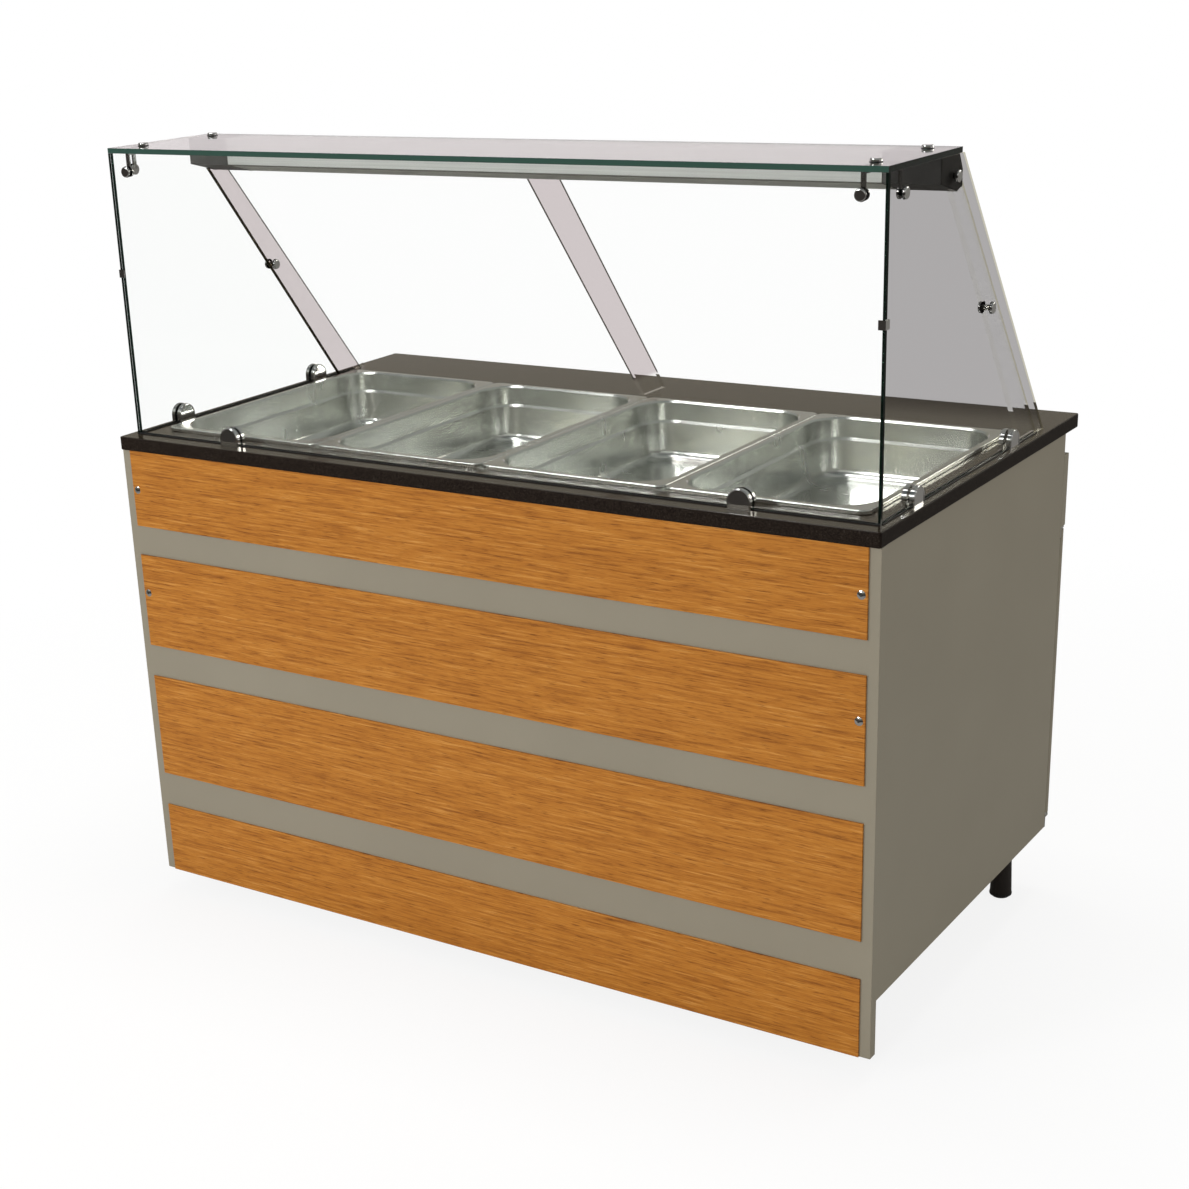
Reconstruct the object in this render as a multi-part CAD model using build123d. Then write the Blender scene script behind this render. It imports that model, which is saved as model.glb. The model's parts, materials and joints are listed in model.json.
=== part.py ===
from build123d import *
import os
from math import radians, sqrt, tan

# A free-standing hot buffet counter. A laminate cabinet carries a stone worktop with a heated well for
# four full-size pans, and a glass guard with an overhead lamp stands on the worktop.
# Millimetres. +Z is up, customers stand at -Y, and the origin is on the floor under the worktop's middle.

# Worktop
TOP_LENGTH = 1400.0
TOP_DEPTH = 790.0
TOP_THICKNESS = 23.0
TOP_HEIGHT = 850.0
TOP_CORNER = 4.0
TOP_EDGE_ROUND = 2.0
TOP_END_BORDER = 40.0

# Cabinet boards
BOARD = 18.0
BOARD_EDGE_ROUND = 1.0
SIDE_INSET = 3.0
FRONT_INSET = 5.0
REAR_INSET = 50.0
CABINET_BOTTOM = 125.0
FRONT_BOARD_BOTTOM = 39.0
UPRIGHT_DEPTH = 100.0
TOP_RAIL_HEIGHT = 70.0
CONTROL_TRAY_DEPTH = 115.0

# Front planks, from the worktop down; the last one runs to the foot of the front board
PLANK_THICKNESS = 3.0
PLANK_BORDER = 18.0
PLANK_EDGE_ROUND = 0.8
PLANK_1_HEIGHT = 133.0
PLANK_2_HEIGHT = 166.0
PLANK_3_HEIGHT = 187.0
STRIPE_1 = 52.0
STRIPE_2 = 58.0
STRIPE_3 = 62.0

# Dome screws that hold the upper two planks
DOME_SCREW_HEAD = 13.0
DOME_SCREW_RISE = 2.0
DOME_SCREW_SHANK = 5.0
DOME_SCREW_LENGTH = 16.0
DOME_SCREW_DROP = 69.0
DOME_SCREW_EDGE = 9.5
SCREW_CLEARANCE = 0.1

# Full-size pans, deep drawn with a stacking step and a turned-down rim
PAN_WIDTH = 325.0
PAN_LENGTH = 530.0
PAN_DEPTH = 100.0
PAN_GAP = 0.5
PAN_SETBACK = 69.0
PAN_SHEET = 1.0
PAN_RIM_WIDTH = 12.5
PAN_RIM_CORNER = 14.0
PAN_RIM_ROUND = 2.0
PAN_LIP = 6.0
PAN_MOUTH_ROLL = 3.0
PAN_MOUTH_CORNER = 56.0
PAN_STEP_DEPTH = 33.0
PAN_STEP_WIDTH = 5.0
PAN_STEP_FALL = 4.0
PAN_UPPER_TAPER = 2.0
PAN_LOWER_TAPER = 5.0
PAN_BOTTOM_ROUND = 18.0
PAN_SEAT_GAP = 0.2

# Heated well
WELL_RIM_REST = 10.0
WELL_FLANGE = 8.0
WELL_SHEET = 1.0
WELL_DEPTH = 160.0
WELL_CORNER = 20.0
WELL_FIT = 2.5
BAR_WIDTH = 18.0
BAR_HEIGHT = 25.0
BAR_SHEET = 2.0
BAR_END_GAP = 0.5
BAR_LEDGE = 12.0
BAR_LEDGE_SHEET = 2.0

# Tubular heating elements and their wall fittings
ELEMENT_DIAMETER = 8.5
ELEMENT_HEIGHT = 25.0
ELEMENT_LEGS = 4
ELEMENT_FIRST = 60.0
ELEMENT_END = 41.0
ELEMENT_MARGIN = 45.0
ELEMENT_BEND = 60.0
ELEMENT_TAIL = 26.0
FITTING_BARREL = 15.0
FITTING_COLLAR = 24.0
FITTING_COLLAR_DEPTH = 4.0
FITTING_NUT = 22.0
FITTING_NUT_DEPTH = 9.0
FITTING_GAP = 0.15

# Drain: outlet in the well's floor, ball valve, lever and spout
DRAIN_END = 130.0
DRAIN_SETBACK = 75.0
DRAIN_BORE = 26.0
DRAIN_PIPE = 33.0
DRAIN_FLANGE = 60.0
DRAIN_FLANGE_DEPTH = 2.0
DRAIN_TAIL = 45.0
DRAIN_NUT = 46.0
DRAIN_NUT_DEPTH = 9.0
VALVE_SOCKET = 44.0
VALVE_SOCKET_DEPTH = 18.0
VALVE_SHOULDER = 6.0
VALVE_BALL = 52.0
VALVE_LENGTH = 78.0
VALVE_NECK = 16.0
VALVE_NECK_REACH = 42.0
VALVE_STEM = 8.0
VALVE_STEM_REACH = 54.0
LEVER_LENGTH = 95.0
LEVER_WIDTH = 18.0
LEVER_SHEET = 4.0
LEVER_GRIP_LENGTH = 56.0
LEVER_GRIP_WIDTH = 22.0
LEVER_GRIP_WALL = 2.0
STEM_FIT = 0.05
SPOUT_LEVER_GAP = 10.0
SPOUT_REACH = 110.0
SPOUT_BEND = 40.0
SPOUT_PIPE = 30.0

# Doors on pivot pins
DOOR_THICKNESS = 18.0
DOOR_STAND_OFF = 4.0
DOOR_GAP = 3.0
DOOR_EDGE_ROUND = 3.0
PIVOT_PLATE = 3.0
PIVOT_PLATE_LENGTH = 50.0
PIVOT_PIN = 6.0
PIVOT_PIN_LENGTH = 16.0
PIVOT_FIT = 0.05
PIVOT_SHOULDER = 14.0
PIVOT_SHOULDER_DEPTH = 3.0
PIVOT_RUN_GAP = 0.3
HANDLE_SPAN = 128.0
HANDLE_REACH = 26.0
HANDLE_BAR = 8.0
HANDLE_BEND = 12.0
HANDLE_EDGE = 45.0
HANDLE_DROP = 60.0
CATCH_LENGTH = 40.0
CATCH_HEIGHT = 9.0
CATCH_EDGE = 20.0
CATCH_GAP = 0.3

# Control fascia, a folded tray above the doors
FASCIA_HEIGHT = 122.0
FASCIA_DROP = 60.0
FASCIA_SHEET = 1.5
FASCIA_CORNER = 3.0

# Controls in a row along the fascia, from its end at -X
KNOB_PLACE = 330.0
KNOB_DIAMETER = 46.0
KNOB_SKIRT = 4.0
KNOB_GRIP = 34.0
KNOB_HEIGHT = 22.0
KNOB_DRAFT = 1.0
KNOB_TOP_BEVEL = 1.0
KNOB_FLUTES = 12
KNOB_FLUTE_DIAMETER = 6.0
KNOB_FLUTE_DEPTH = 1.5
KNOB_GAP = 0.5
SPINDLE = 6.0
SPINDLE_LENGTH = 22.0
SPINDLE_FIT = 0.05
THERMOSTAT_SIZE = 46.0
THERMOSTAT_CORNER = 4.0
THERMOSTAT_DEPTH = 38.0
THERMOSTAT_BUSH = 10.0
PROBE_BULB = 7.0
PROBE_BULB_LENGTH = 110.0
PROBE_CAPILLARY = 2.5
PROBE_BEND = 18.0
PROBE_GAP = 0.2
PILOT_GAP = 35.0
PILOT_SPACING = 35.0
PILOT_LENS = 10.0
PILOT_COLLAR = 14.0
PILOT_COLLAR_RISE = 2.0
PILOT_LENS_RISE = 4.5
PILOT_BODY_DEPTH = 24.0
SWITCH_GAP = 31.0
SWITCH_SPACING = 45.0
SWITCH_FRAME_WIDTH = 24.0
SWITCH_FRAME_HEIGHT = 36.0
SWITCH_FRAME_RISE = 2.5
SWITCH_FRAME_CORNER = 2.0
SWITCH_BODY_WALL = 2.0
SWITCH_BODY_DEPTH = 22.0
ROCKER_WIDTH = 15.0
ROCKER_RADIUS = 13.0
ROCKER_TILT = 8.0
ROCKER_CROWN = 4.0
ROCKER_BACK = 5.0
ROCKER_GAP = 0.5
PANEL_FIT = 0.2

# Electrical connection
TERMINAL_BOX_LENGTH = 120.0
TERMINAL_BOX_DEPTH = 60.0
TERMINAL_BOX_HEIGHT = 50.0
TERMINAL_BOX_X = 320.0
TERMINAL_BOX_SETBACK = 5.0
TERMINAL_BOX_CORNER = 5.0
GLAND_END = 97.0
GLAND_SETBACK = 95.0
GLAND_THREAD = 20.0
GLAND_HEX = 26.0
GLAND_HEX_DEPTH = 8.0
GLAND_DOME = 22.0
GLAND_DOME_DEPTH = 14.0
GLAND_BORE = 11.0
GLAND_NOSE_WALL = 2.0
GLAND_NUT_DEPTH = 4.0

# Glass guard
GUARD_INSET = 31.0
GUARD_END_INSET = 14.5
GUARD_HEIGHT = 466.5
PANE = 6.0
SHELF_THICKNESS = 8.0
SHELF_DEPTH = 248.0
GLASS_GAP = 0.3
SIDE_PANE_FOOT = 631.0
SIDE_PANE_HEAD = 256.0
RIB = 8.0
SIDE_RIB_FOOT = 545.0
SIDE_RIB_FOOT_WIDTH = 65.0
SIDE_RIB_HEAD = 191.0
SIDE_RIB_HEAD_WIDTH = 41.0
MIDDLE_RIB_X = -36.0
MIDDLE_RIB_FOOT = 605.0
MIDDLE_RIB_FOOT_WIDTH = 74.0
MIDDLE_RIB_HEAD = 217.0
MIDDLE_RIB_HEAD_WIDTH = 79.0
MIDDLE_RIB_TOP_DROP = 24.0

# Clamps on the worktop that grip the panes' lower edges
CLAMP_WIDTH = 38.0
CLAMP_HEIGHT = 30.0
CLAMP_PLATE = 7.0
CLAMP_EDGE_ROUND = 1.5
CLAMP_GLASS_GAP = 0.2
FRONT_CLAMP_END = 212.5
SIDE_CLAMP_FRONT = 114.0
SIDE_CLAMP_RIB_GAP = 41.0

# Chrome buttons, brackets and clips of the guard
BUTTON_DIAMETER = 17.0
BUTTON_RISE = 5.0
BUTTON_EDGE_ROUND = 2.0
BUTTON_SHANK = 8.0
GLASS_HOLE_FIT = 1.0
SHELF_BUTTON_END = 37.5
SHELF_BUTTON_FRONT = 45.0
SHELF_BUTTON_REAR = 33.0
BRACKET_SHEET = 3.0
BRACKET_ARM = 7.0
FRONT_BUTTON_DROP = 29.0
SIDE_BUTTON_SETBACK = 52.0
SIDE_BUTTON_DROP = 31.0
CORNER_CLIP_RISE = 265.0
CORNER_CLIP_HEIGHT = 13.0
CORNER_CLIP_ARM = 11.0
CORNER_CLIP_SHEET = 1.8
RIB_CLIP_INSET = 11.6
RIB_CLIP_RISE = 233.0

# Lamp under the shelf; drops are measured down from the shelf
LAMP_SETBACK = 188.0
LAMP_DEPTH = 77.0
LAMP_FRONT_DROP = 36.5
LAMP_LOW_DROP = 52.0
LAMP_LOW_SETBACK = 59.0
LAMP_REAR_DROP = 47.0
LAMP_REAR_RISE = 23.0
LAMP_TOP_BEVEL = 13.0
LAMP_WALL = 2.0
LAMP_CAP_LENGTH = 85.0
LAMP_CAP_ROUND = 2.0
LAMP_END_GAP = 0.3
DIFFUSER = 2.0
DIFFUSER_REST = 5.0
TUBE_DIAMETER = 16.0
TUBE_PIN = 2.4
TUBE_PIN_LENGTH = 7.0
TUBE_PIN_SPACING = 8.0
HOLDER_DEPTH = 14.0
HOLDER_SIZE = 22.0
TUBE_DROP = 22.0
TUBE_SETBACK = 36.0
CAP_BUTTON_SETBACK = 43.0
CAP_BUTTON_DROP = 29.5

# Adjustable legs
LEG_END = 57.0
LEG_FRONT_SETBACK = 72.0
LEG_REAR_SETBACK = 45.0
LEG_FLANGE = 64.0
LEG_FLANGE_DEPTH = 5.0
LEG_SLEEVE = 42.0
LEG_SLEEVE_DEPTH = 40.0
LEG_STEM = 30.0
LEG_STEM_FIT = 0.2
FOOT_DIAMETER = 38.0
FOOT_WAIST = 33.0
FOOT_GAP = 5.0
FOOT_CHAMFER = 4.0

# Places worked out from the sizes above
half_length = TOP_LENGTH / 2
top_front = -TOP_DEPTH / 2
top_rear = TOP_DEPTH / 2
underside = TOP_HEIGHT - TOP_THICKNESS
side_outer = half_length - SIDE_INSET
side_inner = side_outer - BOARD
front_face = top_front + FRONT_INSET
front_back = front_face + BOARD
rear_edge = top_rear - REAR_INSET
base_top = CABINET_BOTTOM + BOARD
plank_face = front_face - PLANK_THICKNESS
plank_end = half_length - PLANK_BORDER

fascia_top = TOP_HEIGHT - FASCIA_DROP
fascia_bottom = fascia_top - FASCIA_HEIGHT
fascia_middle = (fascia_top + fascia_bottom) / 2
door_inner = rear_edge + DOOR_STAND_OFF
door_outer = door_inner + DOOR_THICKNESS
fascia_inner = door_outer - FASCIA_SHEET
pilot_place_1 = KNOB_PLACE + THERMOSTAT_SIZE / 2 + PILOT_GAP + PILOT_COLLAR / 2
pilot_place_2 = pilot_place_1 + PILOT_SPACING
switch_place_1 = pilot_place_2 + PILOT_COLLAR / 2 + SWITCH_GAP + SWITCH_FRAME_WIDTH / 2
switch_place_2 = switch_place_1 + SWITCH_SPACING
door_bottom = base_top + PIVOT_PLATE + PIVOT_SHOULDER_DEPTH + PIVOT_RUN_GAP
door_top = fascia_bottom - PIVOT_PLATE - PIVOT_SHOULDER_DEPTH - PIVOT_RUN_GAP
pivot_x = side_outer - DOOR_THICKNESS / 2
pivot_y = door_inner + DOOR_THICKNESS / 2

pan_pitch = PAN_WIDTH + PAN_GAP
pan_count = int((TOP_LENGTH - 2 * TOP_END_BORDER + PAN_GAP) // pan_pitch)
pan_row = pan_count * pan_pitch - PAN_GAP
pan_y = top_front + PAN_SETBACK + PAN_LENGTH / 2
well_width = pan_row - 2 * WELL_RIM_REST
well_length = PAN_LENGTH - 2 * WELL_RIM_REST
well_front = pan_y - well_length / 2
well_rear = pan_y + well_length / 2
well_floor = TOP_HEIGHT - WELL_DEPTH
element_last = well_width / 2 - ELEMENT_END
flange_top = TOP_HEIGHT + WELL_SHEET
rim_top = flange_top + PAN_SEAT_GAP + PAN_LIP

guard_front = top_front + GUARD_INSET
guard_end = half_length - GUARD_END_INSET
pane_back = guard_front + PANE
pane_inner = guard_end - PANE
shelf_bottom = TOP_HEIGHT + GUARD_HEIGHT
shelf_top = shelf_bottom + SHELF_THICKNESS
pane_low = TOP_HEIGHT + GLASS_GAP
pane_high = shelf_bottom - GLASS_GAP
lamp_front = guard_front + LAMP_SETBACK
lamp_rear = lamp_front + LAMP_DEPTH
lamp_top = shelf_bottom - GLASS_GAP
lamp_end = pane_inner - LAMP_END_GAP
housing_end = lamp_end - LAMP_CAP_LENGTH


def block(x, y, z):
    """A straight board between two corners, each side given as (low, high)."""
    size = [high - low for low, high in (x, y, z)]
    middle = [(low + high) / 2 for low, high in (x, y, z)]
    return Pos(*middle) * Box(*size)


def outline(*points):
    """A flat face inside straight edges."""
    return make_face(Polyline(*points, close=True))


def along_x(face, low, high):
    """A face drawn in (Y, Z), made solid between two X places."""
    return Pos(low, 0, 0) * extrude(Plane.YZ * face, high - low, dir=(1, 0, 0))


def along_y(face, low, high):
    """A face drawn in (X, Z), made solid between two Y places."""
    return Pos(0, low, 0) * extrude(Plane.XZ * face, high - low, dir=(0, 1, 0))


def along_z(face, low, high):
    """A face drawn in (X, Y), made solid between two heights."""
    return Pos(0, 0, low) * extrude(face, high - low, dir=(0, 0, 1))


def turned(*profile):
    """A solid of revolution about Z from (radius, height) points."""
    return revolve(Plane.XZ * outline(*profile), Axis.Z)


def drum(diameter, low, high):
    """A round bar about Z between two heights."""
    return Pos(0, 0, (low + high) / 2) * Cylinder(diameter / 2, high - low)


def to_rear(shape):
    """Turn a piece made about Z so that its +Z points to the rear."""
    return Rot(-90, 0, 0) * shape


def to_front(shape):
    """Turn a piece made about Z so that its +Z points to the customers."""
    return Rot(90, 0, 0) * shape


def to_side(shape, side):
    """Turn a piece made about Z so that its +Z points to the +X end (side 1) or the -X end (side -1)."""
    return Rot(0, 90 * side, 0) * shape


def group(*solids):
    """Separate solids that share one node."""
    return Compound(children=list(solids))


def hexagon(across_flats, low, high):
    """A hexagonal bar about Z."""
    return along_z(RegularPolygon(across_flats / sqrt(3), 6), low, high)


def pipe(points, bends, diameter):
    """A round bar along straight runs joined by arcs."""
    path = FilletPolyline(*points, radius=bends)
    return sweep((path ^ 0) * Circle(diameter / 2), path=path)


def board(x, y, z):
    """A cabinet board with softened edges."""
    blank = block(x, y, z)
    return fillet(blank.edges(), BOARD_EDGE_ROUND)


def make_cabinet():
    """The laminate boards of the cabinet."""
    boards = {}
    depth = (front_back, rear_edge)
    for name, side in (("left", -1), ("right", 1)):
        ends = sorted((side * side_inner, side * side_outer))
        boards["side_panel_" + name] = board(ends, depth, (CABINET_BOTTOM, underside))
    front = board((-half_length, half_length), (front_face, front_back), (FRONT_BOARD_BOTTOM, underside))
    for place in dome_screw_places():
        front -= place * screw_hole()
    boards["front_board"] = front
    inner = (-side_inner, side_inner)
    gland_hole = Pos(GLAND_END - side_outer, rear_edge - GLAND_SETBACK, 0)
    gland_hole *= drum(GLAND_THREAD + 2 * PANEL_FIT, CABINET_BOTTOM, base_top)
    boards["base_board"] = block(inner, depth, (CABINET_BOTTOM, base_top)) - gland_hole
    tray_bottom = fascia_bottom - BOARD
    boards["centre_upright"] = block((-BOARD / 2, BOARD / 2), (rear_edge - UPRIGHT_DEPTH, rear_edge),
                                     (base_top, tray_bottom))
    boards["rear_top_rail"] = block(inner, (rear_edge - BOARD, rear_edge),
                                    (underside - TOP_RAIL_HEIGHT, underside))
    boards["control_tray"] = block(inner, (rear_edge - CONTROL_TRAY_DEPTH, rear_edge),
                                   (tray_bottom, fascia_bottom))
    return boards


def plank_edges():
    """The heights of each plank's lower and upper edge, from the worktop down."""
    edges = []
    top = underside
    heights = (PLANK_1_HEIGHT, PLANK_2_HEIGHT, PLANK_3_HEIGHT)
    for height, stripe in zip(heights, (STRIPE_1, STRIPE_2, STRIPE_3)):
        edges.append((top - height, top))
        top -= height + stripe
    edges.append((FRONT_BOARD_BOTTOM, top))
    return edges


def dome_screw_places():
    """Where the screws go through the upper two planks, pointing at the customers."""
    places = []
    for low, high in plank_edges()[:2]:
        for side in (-1, 1):
            x = side * (plank_end - DOME_SCREW_EDGE)
            places.append(Pos(x, plank_face, high - DOME_SCREW_DROP) * Rot(90, 0, 0))
    return places


def screw_hole():
    """The bore for one screw, measured from the plank's face."""
    return drum(DOME_SCREW_SHANK + 2 * SCREW_CLEARANCE, -DOME_SCREW_LENGTH - SCREW_CLEARANCE, 0)


def make_planks():
    """Wood-look planks on the front board and the dome screws that hold the upper two."""
    planks = {}
    for number, (low, high) in enumerate(plank_edges(), start=1):
        plank = block((-plank_end, plank_end), (plank_face, front_face), (low, high))
        plank = fillet(plank.faces().sort_by(Axis.Y)[0].edges(), PLANK_EDGE_ROUND)
        for place in dome_screw_places():
            plank -= place * screw_hole()
        planks["front_plank_%d" % number] = plank
    head = DOME_SCREW_HEAD / 2
    shank = DOME_SCREW_SHANK / 2
    profile = Polyline((head, 0), (shank, 0), (shank, -DOME_SCREW_LENGTH), (0, -DOME_SCREW_LENGTH),
                       (0, DOME_SCREW_RISE))
    crown = RadiusArc((0, DOME_SCREW_RISE), (head, 0),
                      (head ** 2 + DOME_SCREW_RISE ** 2) / (2 * DOME_SCREW_RISE))
    screw = revolve(Plane.XZ * make_face([profile, crown]), Axis.Z)
    planks["dome_screws"] = group(*[place * screw for place in dome_screw_places()])
    return planks


def make_worktop():
    """The stone slab with the well's cut-out."""
    slab = along_z(RectangleRounded(TOP_LENGTH, TOP_DEPTH, TOP_CORNER), underside, TOP_HEIGHT)
    slab = fillet(slab.faces().sort_by(Axis.Z)[-1].edges(), TOP_EDGE_ROUND)
    slab = fillet(slab.faces().sort_by(Axis.Z)[0].edges(), TOP_EDGE_ROUND)
    room = 2 * (WELL_SHEET + WELL_FIT)
    opening = RectangleRounded(well_width + room, well_length + room, WELL_CORNER + room / 2)
    return slab - Pos(0, pan_y, 0) * along_z(opening, underside, TOP_HEIGHT)


def element_tails():
    """Where the elements' ends pass through the well's rear wall."""
    z = well_floor + ELEMENT_HEIGHT
    return [Pos(x, well_rear, z) for x in (-element_last, -ELEMENT_FIRST, ELEMENT_FIRST, element_last)]


def make_well():
    """The folded well with its flange, the ledges for the pan bars, and the bars."""
    shell = RectangleRounded(well_width + 2 * WELL_SHEET, well_length + 2 * WELL_SHEET,
                             WELL_CORNER + WELL_SHEET)
    inside = RectangleRounded(well_width, well_length, WELL_CORNER)
    spread = 2 * WELL_FLANGE
    flange = RectangleRounded(well_width + spread, well_length + spread, WELL_CORNER + WELL_FLANGE)
    well = along_z(shell, well_floor - WELL_SHEET, flange_top) + along_z(flange, TOP_HEIGHT, flange_top)
    well -= along_z(inside, well_floor, flange_top)
    bar_low = flange_top - BAR_HEIGHT
    ledge = block((-BAR_WIDTH / 2, BAR_WIDTH / 2), (-well_length / 2, BAR_LEDGE - well_length / 2),
                  (bar_low - BAR_LEDGE_SHEET, bar_low))
    wide = BAR_WIDTH / 2
    thin = wide - BAR_SHEET
    roof = flange_top - BAR_SHEET
    channel = outline((-wide, bar_low), (-wide, flange_top), (wide, flange_top), (wide, bar_low),
                      (thin, bar_low), (thin, roof), (-thin, roof), (-thin, bar_low))
    reach = well_length / 2 - BAR_END_GAP
    bars = []
    for joint in range(1, pan_count):
        place = Pos((joint - pan_count / 2) * pan_pitch, pan_y, 0)
        bars.append(place * along_y(channel, -reach, reach))
    well = Pos(0, pan_y, 0) * well
    for joint in range(1, pan_count):
        place = Pos((joint - pan_count / 2) * pan_pitch, pan_y, 0)
        well += place * ledge + place * (Rot(0, 0, 180) * ledge)
    for tail in element_tails():
        well -= tail * to_rear(drum(FITTING_BARREL + 2 * FITTING_GAP, -WELL_SHEET, 2 * WELL_SHEET))
    well -= drain_place() * drum(DRAIN_PIPE + 2 * FITTING_GAP, -2 * WELL_SHEET, WELL_SHEET)
    return {"well_tank": well, "pan_support_bars": group(*bars)}


def make_elements():
    """Two tubular heating elements, each folded into four legs, and their wall fittings."""
    z = well_floor + ELEMENT_HEIGHT
    near = well_front + ELEMENT_MARGIN
    far = well_rear - ELEMENT_MARGIN
    end = well_rear + WELL_SHEET + ELEMENT_TAIL
    route = []
    for leg in range(ELEMENT_LEGS):
        x = ELEMENT_FIRST + leg * (element_last - ELEMENT_FIRST) / (ELEMENT_LEGS - 1)
        legs = [(x, far, z), (x, near, z)]
        route += legs if leg % 2 == 0 else legs[::-1]
    route[0] = (route[0][0], end, z)
    route[-1] = (route[-1][0], end, z)
    right = pipe(route, ELEMENT_BEND, ELEMENT_DIAMETER)
    bore = ELEMENT_DIAMETER / 2 + FITTING_GAP
    collar = FITTING_COLLAR / 2
    barrel = FITTING_BARREL / 2
    fitting = turned((bore, -FITTING_COLLAR_DEPTH), (collar, -FITTING_COLLAR_DEPTH), (collar, 0), (barrel, 0),
                     (barrel, WELL_SHEET + FITTING_NUT_DEPTH), (bore, WELL_SHEET + FITTING_NUT_DEPTH))
    nut = hexagon(FITTING_NUT, WELL_SHEET, WELL_SHEET + FITTING_NUT_DEPTH)
    fitting += nut - drum(2 * bore, WELL_SHEET, WELL_SHEET + FITTING_NUT_DEPTH)
    fittings = [tail * to_rear(fitting) for tail in element_tails()]
    return {"heating_elements": group(mirror(right, Plane.YZ), right), "element_fittings": group(*fittings)}


def drain_place():
    """The middle of the drain on the well's floor."""
    return Pos(well_width / 2 - DRAIN_END, well_rear - DRAIN_SETBACK, well_floor)


def make_drain():
    """The outlet in the well's floor, its ball valve and lever, and the spout below."""
    bore = DRAIN_BORE / 2
    tail = DRAIN_PIPE / 2
    low = -WELL_SHEET - DRAIN_TAIL
    outlet = turned((bore, DRAIN_FLANGE_DEPTH), (DRAIN_FLANGE / 2, DRAIN_FLANGE_DEPTH / 2),
                    (DRAIN_FLANGE / 2, 0), (tail, 0), (tail, low), (bore, low))
    nut = hexagon(DRAIN_NUT, -WELL_SHEET - DRAIN_NUT_DEPTH, -WELL_SHEET)
    nut -= drum(DRAIN_PIPE + 2 * FITTING_GAP, -WELL_SHEET - DRAIN_NUT_DEPTH, -WELL_SHEET)
    place = drain_place()

    valve_top = low + VALVE_SOCKET_DEPTH
    valve_low = valve_top - VALVE_LENGTH
    stem_z = (valve_top + valve_low) / 2
    thick = VALVE_SOCKET_DEPTH + VALVE_SHOULDER
    body = hexagon(VALVE_SOCKET, valve_top - thick, valve_top)
    body += hexagon(VALVE_SOCKET, valve_low, valve_low + thick)
    body += Pos(0, 0, stem_z) * Sphere(VALVE_BALL / 2)
    body += drum(DRAIN_PIPE, valve_low, valve_top)
    body += Pos(0, 0, stem_z) * to_rear(drum(VALVE_NECK, 0, VALVE_NECK_REACH))
    body += Pos(0, 0, stem_z) * to_rear(drum(VALVE_STEM, 0, VALVE_STEM_REACH))
    body -= drum(DRAIN_PIPE + 2 * FITTING_GAP, valve_top - VALVE_SOCKET_DEPTH, valve_top)
    body -= drum(SPOUT_PIPE + 2 * FITTING_GAP, valve_low, valve_low + VALVE_SOCKET_DEPTH)
    body -= drum(DRAIN_BORE, valve_low, stem_z - VALVE_NECK / 2)
    body -= drum(DRAIN_BORE, stem_z + VALVE_NECK / 2, valve_top)

    arm = along_z(Pos(LEVER_LENGTH / 2, 0) * SlotCenterToCenter(LEVER_LENGTH, LEVER_WIDTH), 0, LEVER_SHEET)
    grip_middle = LEVER_LENGTH + LEVER_GRIP_WIDTH / 2 - LEVER_GRIP_LENGTH / 2
    grip = along_z(Pos(grip_middle, 0) * SlotOverall(LEVER_GRIP_LENGTH, LEVER_GRIP_WIDTH),
                   -LEVER_GRIP_WALL, LEVER_SHEET + LEVER_GRIP_WALL)
    lever = arm + grip - drum(VALVE_STEM + 2 * STEM_FIT, 0, LEVER_SHEET)
    lever_y = VALVE_NECK_REACH + STEM_FIT
    lever = Pos(0, lever_y, stem_z) * to_rear(lever)

    spout_top = valve_low + VALVE_SOCKET_DEPTH - FITTING_GAP
    lever_reach = LEVER_LENGTH + LEVER_GRIP_WIDTH / 2
    spout_low = stem_z - lever_reach - SPOUT_LEVER_GAP - SPOUT_PIPE / 2
    route = [(0, 0, spout_top), (0, 0, spout_low), (0, SPOUT_REACH, spout_low)]
    spout = pipe(route, SPOUT_BEND, SPOUT_PIPE) - pipe(route, SPOUT_BEND, DRAIN_BORE)
    return {"drain_outlet": place * group(outlet, nut), "drain_valve": place * body,
            "drain_lever": place * lever, "drain_spout": place * spout}


def pan_levels(out):
    """Width, length, corner radius and height of the pan's inside, grown outwards by a sheet's thickness."""
    upper = tan(radians(PAN_UPPER_TAPER)) * (PAN_STEP_DEPTH - PAN_MOUTH_ROLL)
    fall = PAN_STEP_DEPTH + PAN_STEP_FALL
    lower = tan(radians(PAN_LOWER_TAPER)) * (PAN_DEPTH - fall)
    step = upper + PAN_STEP_WIDTH
    insets = ((-PAN_MOUTH_ROLL, 0.0), (0.0, -PAN_MOUTH_ROLL), (upper, -PAN_STEP_DEPTH), (step, -fall),
              (step + lower, -PAN_DEPTH + PAN_SHEET))
    levels = []
    for inset, height in insets:
        shrink = 2 * (PAN_RIM_WIDTH + inset - out)
        drop = out if height <= -fall else 0.0
        corner = PAN_MOUTH_CORNER - inset + out
        levels.append((PAN_WIDTH - shrink, PAN_LENGTH - shrink, corner, height - drop))
    return levels


def drawn_form(levels, bottom_round):
    """Rounded rectangles at falling heights joined by straight walls, with a rounded bottom edge."""
    sections = [Pos(0, 0, height) * RectangleRounded(width, length, corner)
                for width, length, corner, height in levels]
    form = loft(sections, ruled=True)
    return fillet(form.faces().sort_by(Axis.Z)[0].edges(), bottom_round)


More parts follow.
